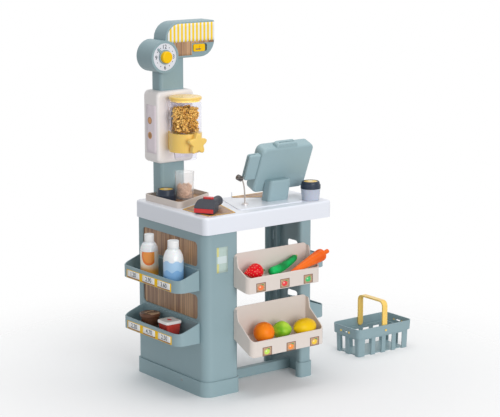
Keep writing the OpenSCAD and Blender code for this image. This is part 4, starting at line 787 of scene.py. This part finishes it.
def tub_paint(w, uv, xyz):
    """Brown tub with a paler foot and a swirl on its lid."""
    swirl = w.ramp(w.noise(w.place()[0], 55.0, 1.0), 0.54, 0.57)
    band = w.mix(w.ramp(uv[1], 0.30, 0.32), "A9744E", "cocoa")
    lid = w.mix(swirl, "cocoa", "C9A27E")
    return w.mix(w.over(uv[1], 0.86), band, lid)


def jelly_paint(top):
    """Red pot with a white lid above one height."""
    return lambda w, uv, xyz: w.mix(w.over(xyz[Z], top), "jelly", "F0EDEA")


# Pieces

class StallStep:
    """What every step of the stall shares: plastics for solids, and then its own build."""
    bl_options = {"REGISTER", "UNDO"}
    coats = {}

    def execute(self, context):
        """Dresses the solids and builds the pieces; what can't be built raises."""
        for name, nodes in self.coats.items():
            dress(plastic(name), *nodes.split())
        self.build(context.scene)
        return {"FINISHED"}

    def build(self, scene):
        """Nothing more, unless a step has pieces of its own."""


class STALL_OT_frame_finish(StallStep, bpy.types.Operator):
    """Panels, plinths, shelves, rail, column, slatted board, a plain plate and a plinth screw"""
    bl_idname = "stall.frame_finish"
    bl_label = "Frame and shelves"
    coats = {"Sage plastic": "left_end_panel left_plinth left_shelf_upper left_shelf_lower "
                             "right_end_panel right_plinth right_shelf_upper right_shelf_lower "
                             "floor_crossbar column head_shell"}

    def build(self, scene):
        s = scene.stall_sizes
        dress(planks("Window slats", Y, Z, s.slat_w), "left_wood_board")
        head = mm([[0, 0.4], [1.2, 0.4], [1.3, 0.9], [2.6, 1.3], [3.3, 0.6], [3.4, -0.3]])
        centre = (ends("left_plinth")[0][X], 4 * MM, 26 * MM)
        screw = turned(eased(head), centre, (-1, 0, 0), 32)
        piece("plinth_screw", "stall", [(screw, plastic("Screw steel"))],
              closed=False)
        corner = (-137.4 * MM, ends("left_end_panel")[0][Y] - s.print_t, 323 * MM)
        plate = panel(corner, mm([35.6, 0, 0]), mm([0, 0, 66]), 4, 6)
        piece("return_plate", "stall",
              [(plate, painted("Return plate", plate_paint))], closed=False, thick=s.print_t)


class STALL_OT_counter(StallStep, bpy.types.Operator):
    """White counter, printed plank sheets with a yellow line, and the corner tray"""
    bl_idname = "stall.counter"
    bl_label = "Counter"
    coats = {"White plastic": "counter_top", "Beige plastic": "corner_tray"}

    def build(self, scene):
        dress(planks("Counter planks", X, Y, scene.stall_sizes.plank_w), "wood_inlays")
        front = [[-152, -83.9], [-66, -83.9], [-16.5, 94.6], [-152, 31]]
        rear = [[42, 72.9], [112.1, 27], [156.5, 27], [156.5, 85.4], [42, 85.4]]
        for name, polygon, z, inner, ease in (("counter_line", front, 470.25, 3.6, 7),
                                              ("platform_line", rear, 472.25, 3.2, 5)):
            band = outline_band(mm(polygon), z * MM, inner * MM, 1.2 * MM, ease * MM)
            piece(name, "stall", [(band, plastic("Yellow line"))], closed=False,
                  thick=0.2 * MM)


class STALL_OT_trays(StallStep, bpy.types.Operator):
    """Front display trays and their six small goods cards"""
    bl_idname = "stall.trays"
    bl_label = "Front trays"
    coats = {"Beige plastic": "front_tray_upper front_tray_lower"}

    def build(self, scene):
        s = scene.stall_sizes
        card_w, card_h = 30, 23
        rows = (("front_tray_upper", -57.5, 76.7, 285.5, ("carrot", "berry", "cucumber")),
                ("front_tray_lower", -51.0, 77.5, 120.5, ("pepper", "orange", "lemon")))
        for node, x0, pitch, z, fruits in rows:
            y = ends(node)[0][Y] - s.print_t
            layers = []
            for k, colour in enumerate(fruits):
                corner = ((x0 + k * pitch) * MM, y, (z - card_h / 2) * MM)
                card = panel(corner, mm([card_w, 0, 0]), mm([0, 0, card_h]), 4, 4)
                layers.append((card, painted("Goods card %s %d" % (node[-5:], k),
                                             card_paint(colour), 0.35, Coat_Weight=0.3)))
            piece(node + "_cards", "stall", layers, closed=False, thick=s.print_t)


class STALL_OT_sign(StallStep, bpy.types.Operator):
    """Striped awning and planks on the sign, the dial's figures, the hand and the slider"""
    bl_idname = "stall.sign"
    bl_label = "Sign and clock"
    coats = {"Dial white": "clock_face", "Sage plastic": "clock_pointer",
             "Sun plastic": "clock_hub sign_slider"}

    def awning(self, s):
        """Striped sheet with a scalloped hem, and planks below it, both cut round the drum."""
        w = s.stripe_w

        def above_drum(x):
            """Height of the round drum's edge at x, or far below where the drum isn't."""
            reach = DRUM_R ** 2 - (x - DRUM_X) ** 2
            return np.where(reach > 0, DRUM_Z + np.sqrt(np.maximum(reach, 0)) + 0.6 * MM, 0)

        def sheet(x, low, high, y):
            """Upright sheet between two heights at each x."""
            low, high = np.broadcast_to(low, x.shape), np.broadcast_to(high, x.shape)
            at = np.full_like(x, y)
            return ruled(np.column_stack([x, at, low]), np.column_stack([x, at, high]), 6)
        x = np.linspace(-17 * w, 8 * w - 0.4 * MM, 301)
        arc = np.maximum((39.5 * MM) ** 2 - np.minimum(x + 64 * MM, 0) ** 2, 0)
        top = np.minimum(890.5 * MM + np.sqrt(arc), 930 * MM)
        hem = 884.6 * MM - s.scallop_d * np.abs(np.sin(np.pi * x / w)) ** 0.6
        cloth = painted("Awning stripes", stripe_paint(w, "FAD114", "ECECEC"), 0.45,
                        Specular_IOR_Level=0.25)
        low = np.maximum(hem, above_drum(x))
        piece("sign_awning", "stall",
              [(sheet(x, low, top, SIGN_FACE_Y - 2 * s.print_t), cloth)],
              closed=False, thick=s.print_t)
        boards = planks("Sign planks", X, Z, 14.6 * MM)
        y, top = SIGN_FACE_Y - s.print_t, 886 * MM
        left = np.linspace(-82 * MM, -24.6 * MM, 61)
        right = np.linspace(-24.6 * MM, 45.4 * MM, 31)
        low = np.maximum(above_drum(left), 846 * MM)
        piece("sign_planks", "stall", [(sheet(left, low, top, y), boards),
                                                     (sheet(right, 876.6 * MM, top, y), boards)],
              closed=False, thick=s.print_t)

    def dial(self):
        """Figures at the quarters and dots at the other hours."""
        ink, r = plastic("Navy ink"), 27.0 * MM
        y = ends("clock_face")[0][Y] - STICK

        def spot(hour):
            a = hour * math.pi / 6
            return DRUM_X + r * math.sin(a), y, DRUM_Z + r * math.cos(a)
        lettering("dial_figures", "stall",
                  [(str(h), spot(h), (1, 0, 0), (0, 0, 1), 10.5 * MM) for h in (12, 3, 6, 9)],
                  ink, FIGURE_WEIGHT)
        spots = np.array([spot(h) for h in (1, 2, 4, 5, 7, 8, 10, 11)])
        dot = turned([[0, 0], [1.3 * MM, 0]], (0, 0, 0), (0, -1, 0), 16)
        piece("dial_dots", "stall",
              [(strewn(dot, spots, np.tile(np.eye(3), (len(spots), 1, 1))), ink)], closed=False)

    def build(self, scene):
        self.awning(scene.stall_sizes)
        self.dial()
        lo, hi = ends("sign_slider")
        width = (hi[0] - lo[0]) * 0.45
        # Near-black strip on the slider: painted shade of its groove
        mark = panel(lo + mm([6, -0.15, 5.2]), (width, 0, 0), (0, 0, 2.6 * MM), 4, 2)
        piece("slider_mark", "slider", [(mark, plastic("Groove shade"))],
              closed=False, thick=0.15 * MM)


class STALL_OT_dispenser(StallStep, bpy.types.Operator):
    """Dispenser: housing with a print, clear hopper and spout, base, wheel, knob and pasta"""
    bl_idname = "stall.dispenser"
    bl_label = "Dispenser"
    coats = {"Housing lit beige": "dispenser_housing", "Wheel white": "dispenser_rotor",
             "Straw plastic": "dispenser_base star_knob hopper_lid"}

    def build(self, scene):
        """Prints the housing, and fills the hopper with spirals that stay inside the filling."""
        s = scene.stall_sizes
        dress(clear("Clear plastic", (0.93, 0.93, 0.98), 0.03), "hopper", "dispenser_spout")
        print_w, print_h = 45, 127
        corner = (ends("dispenser_housing")[0][X] - s.print_t, 209 * MM, 594 * MM)
        field = panel(corner, mm([0, -print_w, 0]), mm([0, 0, print_h]), 4, 10)
        piece("housing_print", "stall",
              [(field, painted("Biscuit print", biscuit_paint(print_h / print_w)))],
              closed=False, thick=s.print_t)
        rng = np.random.default_rng(7)
        lo, hi = ends("hopper_filling")
        foot, radius, _ = upright("hopper_filling")
        half, wide, n = s.pasta_l / 2, 4.2 * MM, s.pasta_n
        lie = random_turns(rng, n)
        level, steep = np.hypot(lie[:, 0, 2], lie[:, 1, 2]), np.abs(lie[:, 2, 2])
        flat, tall = half * level + wide * steep, half * steep + wide * level
        reach = (radius - flat) * np.sqrt(rng.uniform(0.25, 1.0, n))
        angle = rng.uniform(0, FULL_TURN, n)
        place = np.stack([foot[0] + reach * np.cos(angle), foot[1] + reach * np.sin(angle),
                          rng.uniform(lo[2] + tall, hi[2] - tall)], 1)
        # Dark brown cone inside the spirals: painted shade in the gaps between them
        inner, tip = radius - 15 * MM, radius - 21 * MM
        core = np.column_stack([[0, inner, inner, tip, 0], mm([1, 1, 55, 58, 59])])
        piece("hopper_pasta", "stall",
              [(strewn(spiral(s.pasta_l, wide), place, lie), fruit("Pasta")),
               (turned(core, foot, turns=48), fruit("Pasta painted shade"))], stands_for="hopper_filling")


class STALL_OT_till(StallStep, bpy.types.Operator):
    """Till with its screen, keypad, keys and card reader, and the microphone beside it"""
    bl_idname = "stall.till"
    bl_label = "Till and microphone"
    coats = {"Till lit sage": "register_stand register_rear_shell register_bezel card_reader",
             "Screen glass": "register_screen", "Beige plastic": "register_keypad register_key_2",
             "Sun plastic": "register_key_1 register_key_3"}

    def build(self, scene):
        """Lays figures on the leaning screen and keys, and paints the microphone by height."""
        out = np.array([0, math.cos(TILL_LEAN), math.sin(TILL_LEAN)])
        up = np.array([0, -math.sin(TILL_LEAN), math.cos(TILL_LEAN)])
        right = np.array([-1.0, 0, 0])

        def on_face(node, gap):
            """Middle of the face that lies farthest out of the screen, lifted by a gap."""
            co = np.array([v.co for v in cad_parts[node].data.vertices])
            far = co @ out
            rim = co[far > far.max() - 0.02 * MM]
            return (rim.min(0) + rim.max(0)) / 2 + out * gap
        face = on_face("register_screen", STICK) + up * 8 * MM
        lettering("screen_figures", "stall", [("12.50", face, right, up, 15 * MM)],
                  plastic("Screen figures"))
        for k, sign in ((1, "+"), (2, "="), (3, "-")):
            face = on_face("register_key_%d" % k, STICK / 2)
            lettering("key_%d_mark" % k, "key_%d" % k,
                      [(sign, face, right, up, 7 * MM)], plastic("Navy ink"))
        lo, hi = ends("microphone")
        steps = ((lo[2], "E4E0DE"), (lo[2] + 4 * MM, "B9AFA9"), (hi[2] - 17 * MM, "77706D"))
        dress(painted("Microphone metal", height_paint(steps, hi[2] - 15 * MM, 5 * MM), 0.3,
                      Metallic=0.5), "microphone")


class STALL_OT_scanner(StallStep, bpy.types.Operator):
    """Hand scanner: grained body, red window and red button"""
    bl_idname = "stall.scanner"
    bl_label = "Scanner"
    coats = {"Graphite plastic": "scanner_body", "Red plastic": "scanner_window scanner_button"}


class STALL_OT_cups(StallStep, bpy.types.Operator):
    """Clear cup with cereal, the takeaway cup, and two navy lids with yellow discs"""
    bl_idname = "stall.cups"
    bl_label = "Cups and lids"
    coats = {"Milky plastic": "takeaway_cup", "Navy plastic": "loose_lid takeaway_lid"}

    def build(self, scene):
        dress(clear("Frosted plastic", (0.93, 0.92, 0.92), 0.21, 1.12, 0.89), "cereal_cup")
        coat = painted("Lid disc", lid_paint, 0.35, Coat_Weight=0.2)
        rim = mm([[0, 0.8], [9, 0.75], [17.2, 0.5], [17.9, 0.3], [17.9, -0.4]])
        for node, body in (("loose_lid", "spare_lid"), ("takeaway_lid", "drink_lid")):
            foot, _, height = upright(node)
            top = foot + [0, 0, height - 0.9 * MM]
            piece(node + "_disc", body, [(turned(rim, top, turns=48), coat)],
                  closed=False)
        rng = np.random.default_rng(11)
        foot, n = upright("cereal_cup")[0], scene.stall_sizes.cereal_n
        z = rng.uniform(5 * MM, 36 * MM, n)
        inside, ring_reach = 20.6 * MM + 0.04 * z, 5.3 * MM
        reach = (inside - ring_reach) * np.sqrt(rng.uniform(0.45, 1.0, n))
        angle = rng.uniform(0, FULL_TURN, n)
        place = foot + np.stack([reach * np.cos(angle), reach * np.sin(angle), z], 1)
        core = mm([[0, 2.2], [14, 2.2], [15, 29], [10, 32], [0, 33]])
        rings = strewn(ring_shape(3.6 * MM, 1.6 * MM), place, random_turns(rng, n))
        piece("cup_cereal", "clear_cup",
              [(rings, fruit("Cereal")), (turned(core, foot, turns=40), fruit("Cereal"))])


# Profiles of packs: shares of the radius and of the height
JUICE = [[0, 0], [0.94, 0], [1, 0.03], [1, 0.64], [0.95, 0.70], [0.78, 0.78], [0.60, 0.815],
         [0.58, 0.835]]
MILK = [[0, 0], [0.94, 0], [1, 0.03], [1, 0.60], [0.94, 0.68], [0.74, 0.78], [0.55, 0.82],
        [0.60, 0.835], [0.60, 0.855]]
TUB = [[0, 0], [0.70, 0], [0.74, 0.03], [0.90, 0.80], [0.96, 0.80], [1, 0.84], [1, 0.97],
       [0.96, 1], [0, 1]]


class STALL_OT_groceries(StallStep, bpy.types.Operator):
    """Bottles with plain labels and ribbed caps, dessert tub, jelly pot and the price bands"""
    bl_idname = "stall.groceries"
    bl_label = "Groceries and prices"

    def bottle(self, body, profile, cap_share, cap_from, label_top, label):
        """Lathe of the pack's profile, a label sleeve just outside it and a cap with 28 ribs."""
        centre, r, h = upright(body + "_bottle")
        shell = eased(corners(np.array(profile) * np.array([r, h]), 5 * MM))
        sleeve = np.column_stack([np.full(9, r + STICK), np.linspace(0.09, label_top, 9) * h])
        low, top, cap_r = cap_from * h, h - 0.2 * MM, cap_share * r
        cap = corners([[0.2 * cap_r, low], [cap_r, low], [cap_r, top], [0, top]], 1.2 * MM)
        ribbed = turned(eased(cap, 1), centre, turns=112,
                        wave=lambda a: 1 + 0.018 * np.cos(28 * a))
        piece(body + "_pack", body,
              [(turned(shell, centre, turns=72), plastic("Bottle white")),
               (turned(sleeve, centre, turns=72), label), (ribbed, plastic("Cap white"))],
              stands_for=body + "_bottle", closed=False)

    def prices(self, s, node, texts):
        """Yellow tape along a shelf's outer face, with three cards and their figures."""
        lo = ends(node)[0]
        x, y0, z = lo[0] - s.print_t, 158 * MM, lo[2] + 1.0 * MM
        card_w, pitch = 56 * MM, 70
        layers = [(panel((x, y0, z), mm([0, -205, 0]), mm([0, 0, 22]), 20, 2),
                   plastic("Price yellow"))]
        words = []
        for k, text in enumerate(texts):
            y = y0 - (4 + pitch * k) * MM
            for coat, lift, height, rows in (("Price card", 4.2, 16.2, 2),
                                             ("Price edge", 1.2, 3.0, 1)):
                strip = panel((x - STICK, y, z + lift * MM), (0, -card_w, 0),
                              (0, 0, height * MM), 6, rows)
                layers.append((strip, plastic(coat)))
            words.append((text, (x - 0.3 * MM, y - card_w / 2, z + 12.3 * MM), (0, -1, 0),
                          (0, 0, 1), s.digit_h))
        piece(node + "_prices", "stall", layers, closed=False, thick=s.print_t)
        lettering(node + "_digits", "stall", words, plastic("Navy ink"),
                  FIGURE_WEIGHT)

    def build(self, scene):
        self.bottle("juice", JUICE, 0.52, 0.825, 0.63, painted("Juice label", juice_paint, 0.3))
        self.bottle("milk", MILK, 0.55, 0.85, 0.59, painted("Milk label", milk_paint, 0.3))
        foot, r, h = upright("dessert_tub")
        tub = eased(corners(np.array(TUB) * np.array([r, h]), 1.5 * MM))
        coat = painted("Dessert tub", tub_paint, 0.35, Specular_IOR_Level=0.3)
        piece("dessert_pack", "dessert", [(turned(tub, foot, turns=72), coat)],
              stands_for="dessert_tub")
        foot, _, h = upright("jelly_pot")
        top = foot + [0, 0, h]
        coat = painted("Jelly pot", jelly_paint(top[2] - 7.2 * MM), 0.25, Coat_Weight=0.3)
        dress(coat, "jelly_pot")
        spot = turned(mm([[0, 0.25], [8, 0.25], [8.3, 0.0]]), top, turns=40)
        spot[..., 0] = (spot[..., 0] - top[0]) * 0.62 + top[0]
        piece("jelly_mark", "jelly", [(spot, plastic("Jelly mark"))], closed=False)
        self.prices(scene.stall_sizes, "left_shelf_upper", ("1.20", "2.90", "3.60"))
        self.prices(scene.stall_sizes, "left_shelf_lower", ("2.20", "4.70", "2.50"))


class STALL_OT_food(StallStep, bpy.types.Operator):
    """Play food in the front trays"""
    bl_idname = "stall.food"
    bl_label = "Play food"

    def berry(self, seed_n):
        """Strawberry: radius 20.7 sin(pi t^1.5)^0.75 mm along its axis.

        The seeds lie on a golden-angle spiral, along the skin.
        """
        start, length, axis = mm([-77.5, -132, 321.4]), 61 * MM, (1, 0, 0)

        def radius(t):
            return 20.7 * MM * np.sin(np.pi * np.clip(t, 0, 1) ** 1.5) ** 0.75
        t = dense_ends(65)
        skin_grid = turned(np.column_stack([radius(t), t * length]), start, axis, 64)
        stalk_line = corners(mm([[2.4, 58], [2.4, 65.6], [0, 65.6]]), 0.8 * MM)
        k, h = np.arange(seed_n), 1e-3
        q = 0.10 + 0.86 * (k + 0.5) / seed_n
        a = k * np.pi * (3 - math.sqrt(5))
        x, y, z = basis(axis)
        slope = ((radius(q + h) - radius(q - h)) / (2 * h * length))[:, None]
        out = np.cos(a)[:, None] * x + np.sin(a)[:, None] * y
        normal, along = unit(out - slope * z), unit(z + slope * out)
        turns = np.stack([along, np.cross(normal, along), normal], 2)
        place = start + out * radius(q)[:, None] + q[:, None] * length * z + normal * 0.1 * MM
        lat, lon = np.linspace(0, np.pi, 6)[None], np.linspace(0, FULL_TURN, 9)[:, None]
        seed = np.stack([1.2 * np.cos(lat) + 0 * lon, 0.7 * np.sin(lat) * np.cos(lon),
                         0.4 * np.sin(lat) * np.sin(lon)], -1)
        piece("strawberry_skin", "berry",
              [(skin_grid, fruit("Strawberry")),
               (turned(stalk_line, start, axis, 20), fruit("Strawberry stalk")),
               (strewn(seed * MM, place, turns), fruit("Seeds"))], stands_for="strawberry")

    def cucumber(self):
        """Cucumber: a tube along a parabola that rises 26 mm, round-ended and slimmer on top."""
        t = dense_ends(73)
        path = (np.array([5, -133, 312.7]) + t[:, None] * np.array([102, 19, 0])
                + (26 * t ** 2)[:, None] * [0, 0, 1]) * MM
        end = np.maximum(0, np.abs(2 * t - 1) - 0.76) / 0.24
        r = 12.2 * MM * np.sqrt(np.clip(1 - end ** 2, 0, 1)) * (1 - 0.34 * t ** 1.5)
        nub = corners(mm([[3.0, -4], [2.6, 1.5], [0, 2.2]]), 0.8 * MM)
        piece("cucumber_skin", "cucumber_toy",
              [(swept(path, r, 48), fruit("Cucumber")),
               (turned(nub, path[-1], path[-1] - path[-4], 20), fruit("Cucumber end"))],
              stands_for="cucumber")

    def carrot(self):
        """Carrot: an eased lathe, 16.9 mm in radius, with shallow rings and a stub."""
        shares = [[0, 0], [0.15, 0], [0.30, 0.08], [0.58, 0.40], [0.86, 0.72], [1, 0.90],
                  [0.94, 0.96], [0.70, 1], [0, 1]]
        line = eased(np.array(shares) * np.array([16.9, 119]) * MM, 4)
        ring = np.sin(line[:, 1] * 460 + 1.2 * np.sin(line[:, 1] * 130)) ** 12
        line[:, 0] *= 1 - 0.035 * ring * np.clip(line[:, 0] / (6 * MM) - 0.5, 0, 1)
        rise = math.radians(18.4)
        tip, aim = mm([57, -148.2, 305]), (math.cos(rise), 0, math.sin(rise))
        stub = eased(corners(mm([[6, 117], [5.8, 134], [4.6, 135.8], [0, 135.8]]), 1.2 * MM), 1)
        piece("carrot_skin", "carrot_toy",
              [(turned(line, tip, aim, 64), fruit("Carrot")),
               (turned(stub, tip, aim, 32), fruit("Carrot"))], stands_for="carrot")

    def build(self, scene):
        """Builds the long food, then a dimpled ball, a ball of four lobes and a pointed one."""
        self.berry(scene.stall_sizes.seed_n)
        self.cucumber()
        self.carrot()
        a = np.linspace(0, np.pi, 49)
        ball = mm(np.column_stack([27.2 * np.sin(a), -27.2 * np.cos(a)]))
        ball[:, 1] -= 1.6 * MM * np.exp(-(ball[:, 0] / (4 * MM)) ** 2) * np.sign(ball[:, 1])
        q, yaw = dense_ends(65), math.radians(-25)
        lobes = mm(np.column_stack([22.3 * np.sin(np.pi * q) ** 0.6, 54 * (q - 0.5)]))
        u, point = np.abs(2 * q - 1), 0.84
        near = u < point
        left = (1 - u) / 0.16
        rind = np.where(near, np.sqrt(np.clip(1 - (u / point) ** 2 * point, 0, 1)),
                        0.4 * np.sqrt(np.clip(left, 0, 1)))
        rind = np.minimum(rind, np.where(near, 1, 0.4 * left + 0.04 * (u < 0.999)))
        lemon = mm(np.column_stack([22.9 * rind, 74 * q]))
        for name, body, node, slot, coat, line, place, axis, turns, wave in (
                ("orange_skin", "orange_toy", "orange", "orange_plastic", "Orange", ball,
                 [-20, -142, 159.7], (-0.35, -0.5, 0.79), 64, None),
                ("pepper_skin", "pepper_toy", "green_pepper", "pepper_green", "Pepper", lobes,
                 [39, -140, 156.25], (math.cos(yaw), math.sin(yaw), 0), 80,
                 lambda b: 1 + 0.055 * np.cos(4 * b)),
                ("lemon_skin", "lemon_toy", "lemon", "lemon_yellow", "Lemon", lemon,
                 [71, -150, 155.4], (1, 0, 0), 64, None)):
            piece(name, body, [(turned(line, mm(place), axis, turns, wave), fruit(coat))],
                  stands_for=node)


class STALL_OT_basket(StallStep, bpy.types.Operator):
    """Carry basket and its swinging handle"""
    bl_idname = "stall.basket"
    bl_label = "Basket"
    coats = {"Basket sage": "basket_body", "Straw plastic": "basket_pins basket_handle"}


class STALL_OT_stage(StallStep, bpy.types.Operator):
    """Pale floor that fades out, soft studio lamps, white surroundings and the camera"""
    bl_idname = "stall.stage"
    bl_label = "Stage"

    def floor(self):
        """Square floor that turns clear with the distance from the middle."""
        half = 2.5
        mesh = bpy.data.meshes.new("floor")
        mesh.from_pydata([(-half, -half, 0), (half, -half, 0), (half, half, 0), (-half, half, 0)],
                         [], [(0, 1, 2, 3)])
        mat, wire, shader = finish("Floor", Base_Color=(0.95, 0.95, 0.955, 1), Roughness=0.8,
                                   Specular_IOR_Level=0.2)
        far = wire.add("ShaderNodeVectorMath", {0: wire.place()[0]}, operation="LENGTH")
        gone = wire.add("ShaderNodeBsdfTransparent").outputs[0]
        wire.blend("Material Output", wire.ramp(far.outputs["Value"], 0.2, 1.1), shader.outputs[0],
                   gone)
        mesh.materials.append(mat)
        linked("floor", mesh)

    def aimed(self, name, data, place, target):
        """Object at a place, turned to a target."""
        obj = linked(name, data)
        obj.location = place
        aim = Vector(target) - obj.location
        obj.rotation_euler = aim.to_track_quat("-Z", "Y").to_euler()
        return obj

    def lamp(self, name, place, power, size):
        """Square lamp at a place, turned to the stall."""
        data = bpy.data.lights.new(name, "AREA")
        data.energy, data.size = power, size
        self.aimed(name, data, place, (0.0, 0.05, 0.4))

    def surroundings(self, scene, strength):
        """World that is white where it is seen, mirrored or looked through, and dimmer as light."""
        world = bpy.data.worlds.new("Studio")
        scene.world = world
        world.use_nodes = True
        wire = Wire(world.node_tree)
        ray = wire.add("ShaderNodeLightPath").outputs
        seen = wire.calc("MAXIMUM", ray["Is Camera Ray"], ray["Is Glossy Ray"])
        seen = wire.calc("MAXIMUM", seen, ray["Is Transmission Ray"])
        dim = wire.feed(world.node_tree.nodes["Background"],
                        {0: (0.97, 0.985, 1.0, 1), 1: strength})
        white = wire.add("ShaderNodeBackground", {0: (1, 1, 1, 1), 1: 1.0})
        wire.blend("World Output", seen, dim.outputs[0], white.outputs[0])

    def build(self, scene):
        st = scene.stall_stage
        self.floor()
        self.lamp("key", (-1.0, -8.45, 2.3), st.key_power, 4.8)
        self.lamp("top", (0.3, 0.2, 4.2), st.top_power, 2.8)
        self.surroundings(scene, st.sky)
        scene.view_settings.view_transform = "Standard"
        data = bpy.data.cameras.new("camera")
        data.lens, data.sensor_width, data.sensor_fit = st.lens, 36.0, "HORIZONTAL"
        scene.camera = self.aimed("camera", data, (-2.5826, -3.4892, 1.3315),
                                  (0.1194, 0.103, 0.4276))


STEPS = (STALL_OT_frame_finish, STALL_OT_counter, STALL_OT_trays, STALL_OT_sign,
         STALL_OT_dispenser, STALL_OT_till, STALL_OT_scanner, STALL_OT_cups, STALL_OT_groceries,
         STALL_OT_food, STALL_OT_basket, STALL_OT_stage)


class STALL_PT_steps(bpy.types.Panel):
    """Sidebar panel that lists the steps and their properties"""
    bl_idname = "STALL_PT_steps"
    bl_label = "Toy market stall"
    bl_space_type = "VIEW_3D"
    bl_region_type = "UI"
    bl_category = "Stall"

    def draw(self, context):
        """Draws a button for each step and a box for each set of properties."""
        scene = context.scene
        for step in STEPS:
            self.layout.operator(step.bl_idname)
        for group in (scene.stall_sizes, scene.stall_stage, scene.stall_colours):
            box = self.layout.box()
            for key in group.bl_rna.properties.keys()[2:]:
                box.prop(group, key)


CLASSES = (StallColours, StallSizes, StallStage) + STEPS + (STALL_PT_steps,)


def register():
    """Adds the classes and the scene's properties."""
    for cls in CLASSES:
        bpy.utils.register_class(cls)
    bpy.types.Scene.stall_colours = bpy.props.PointerProperty(type=StallColours)
    bpy.types.Scene.stall_sizes = bpy.props.PointerProperty(type=StallSizes)
    bpy.types.Scene.stall_stage = bpy.props.PointerProperty(type=StallStage)


def unregister():
    """Takes them away again."""
    del bpy.types.Scene.stall_colours, bpy.types.Scene.stall_sizes, bpy.types.Scene.stall_stage
    for cls in reversed(CLASSES):
        bpy.utils.unregister_class(cls)


def main():
    """Runs every step."""
    register()
    bpy.ops.stall.frame_finish()
    bpy.ops.stall.counter()
    bpy.ops.stall.trays()
    bpy.ops.stall.sign()
    bpy.ops.stall.dispenser()
    bpy.ops.stall.till()
    bpy.ops.stall.scanner()
    bpy.ops.stall.cups()
    bpy.ops.stall.groceries()
    bpy.ops.stall.food()
    bpy.ops.stall.basket()
    bpy.ops.stall.stage()


if __name__ == "__main__":
    main()
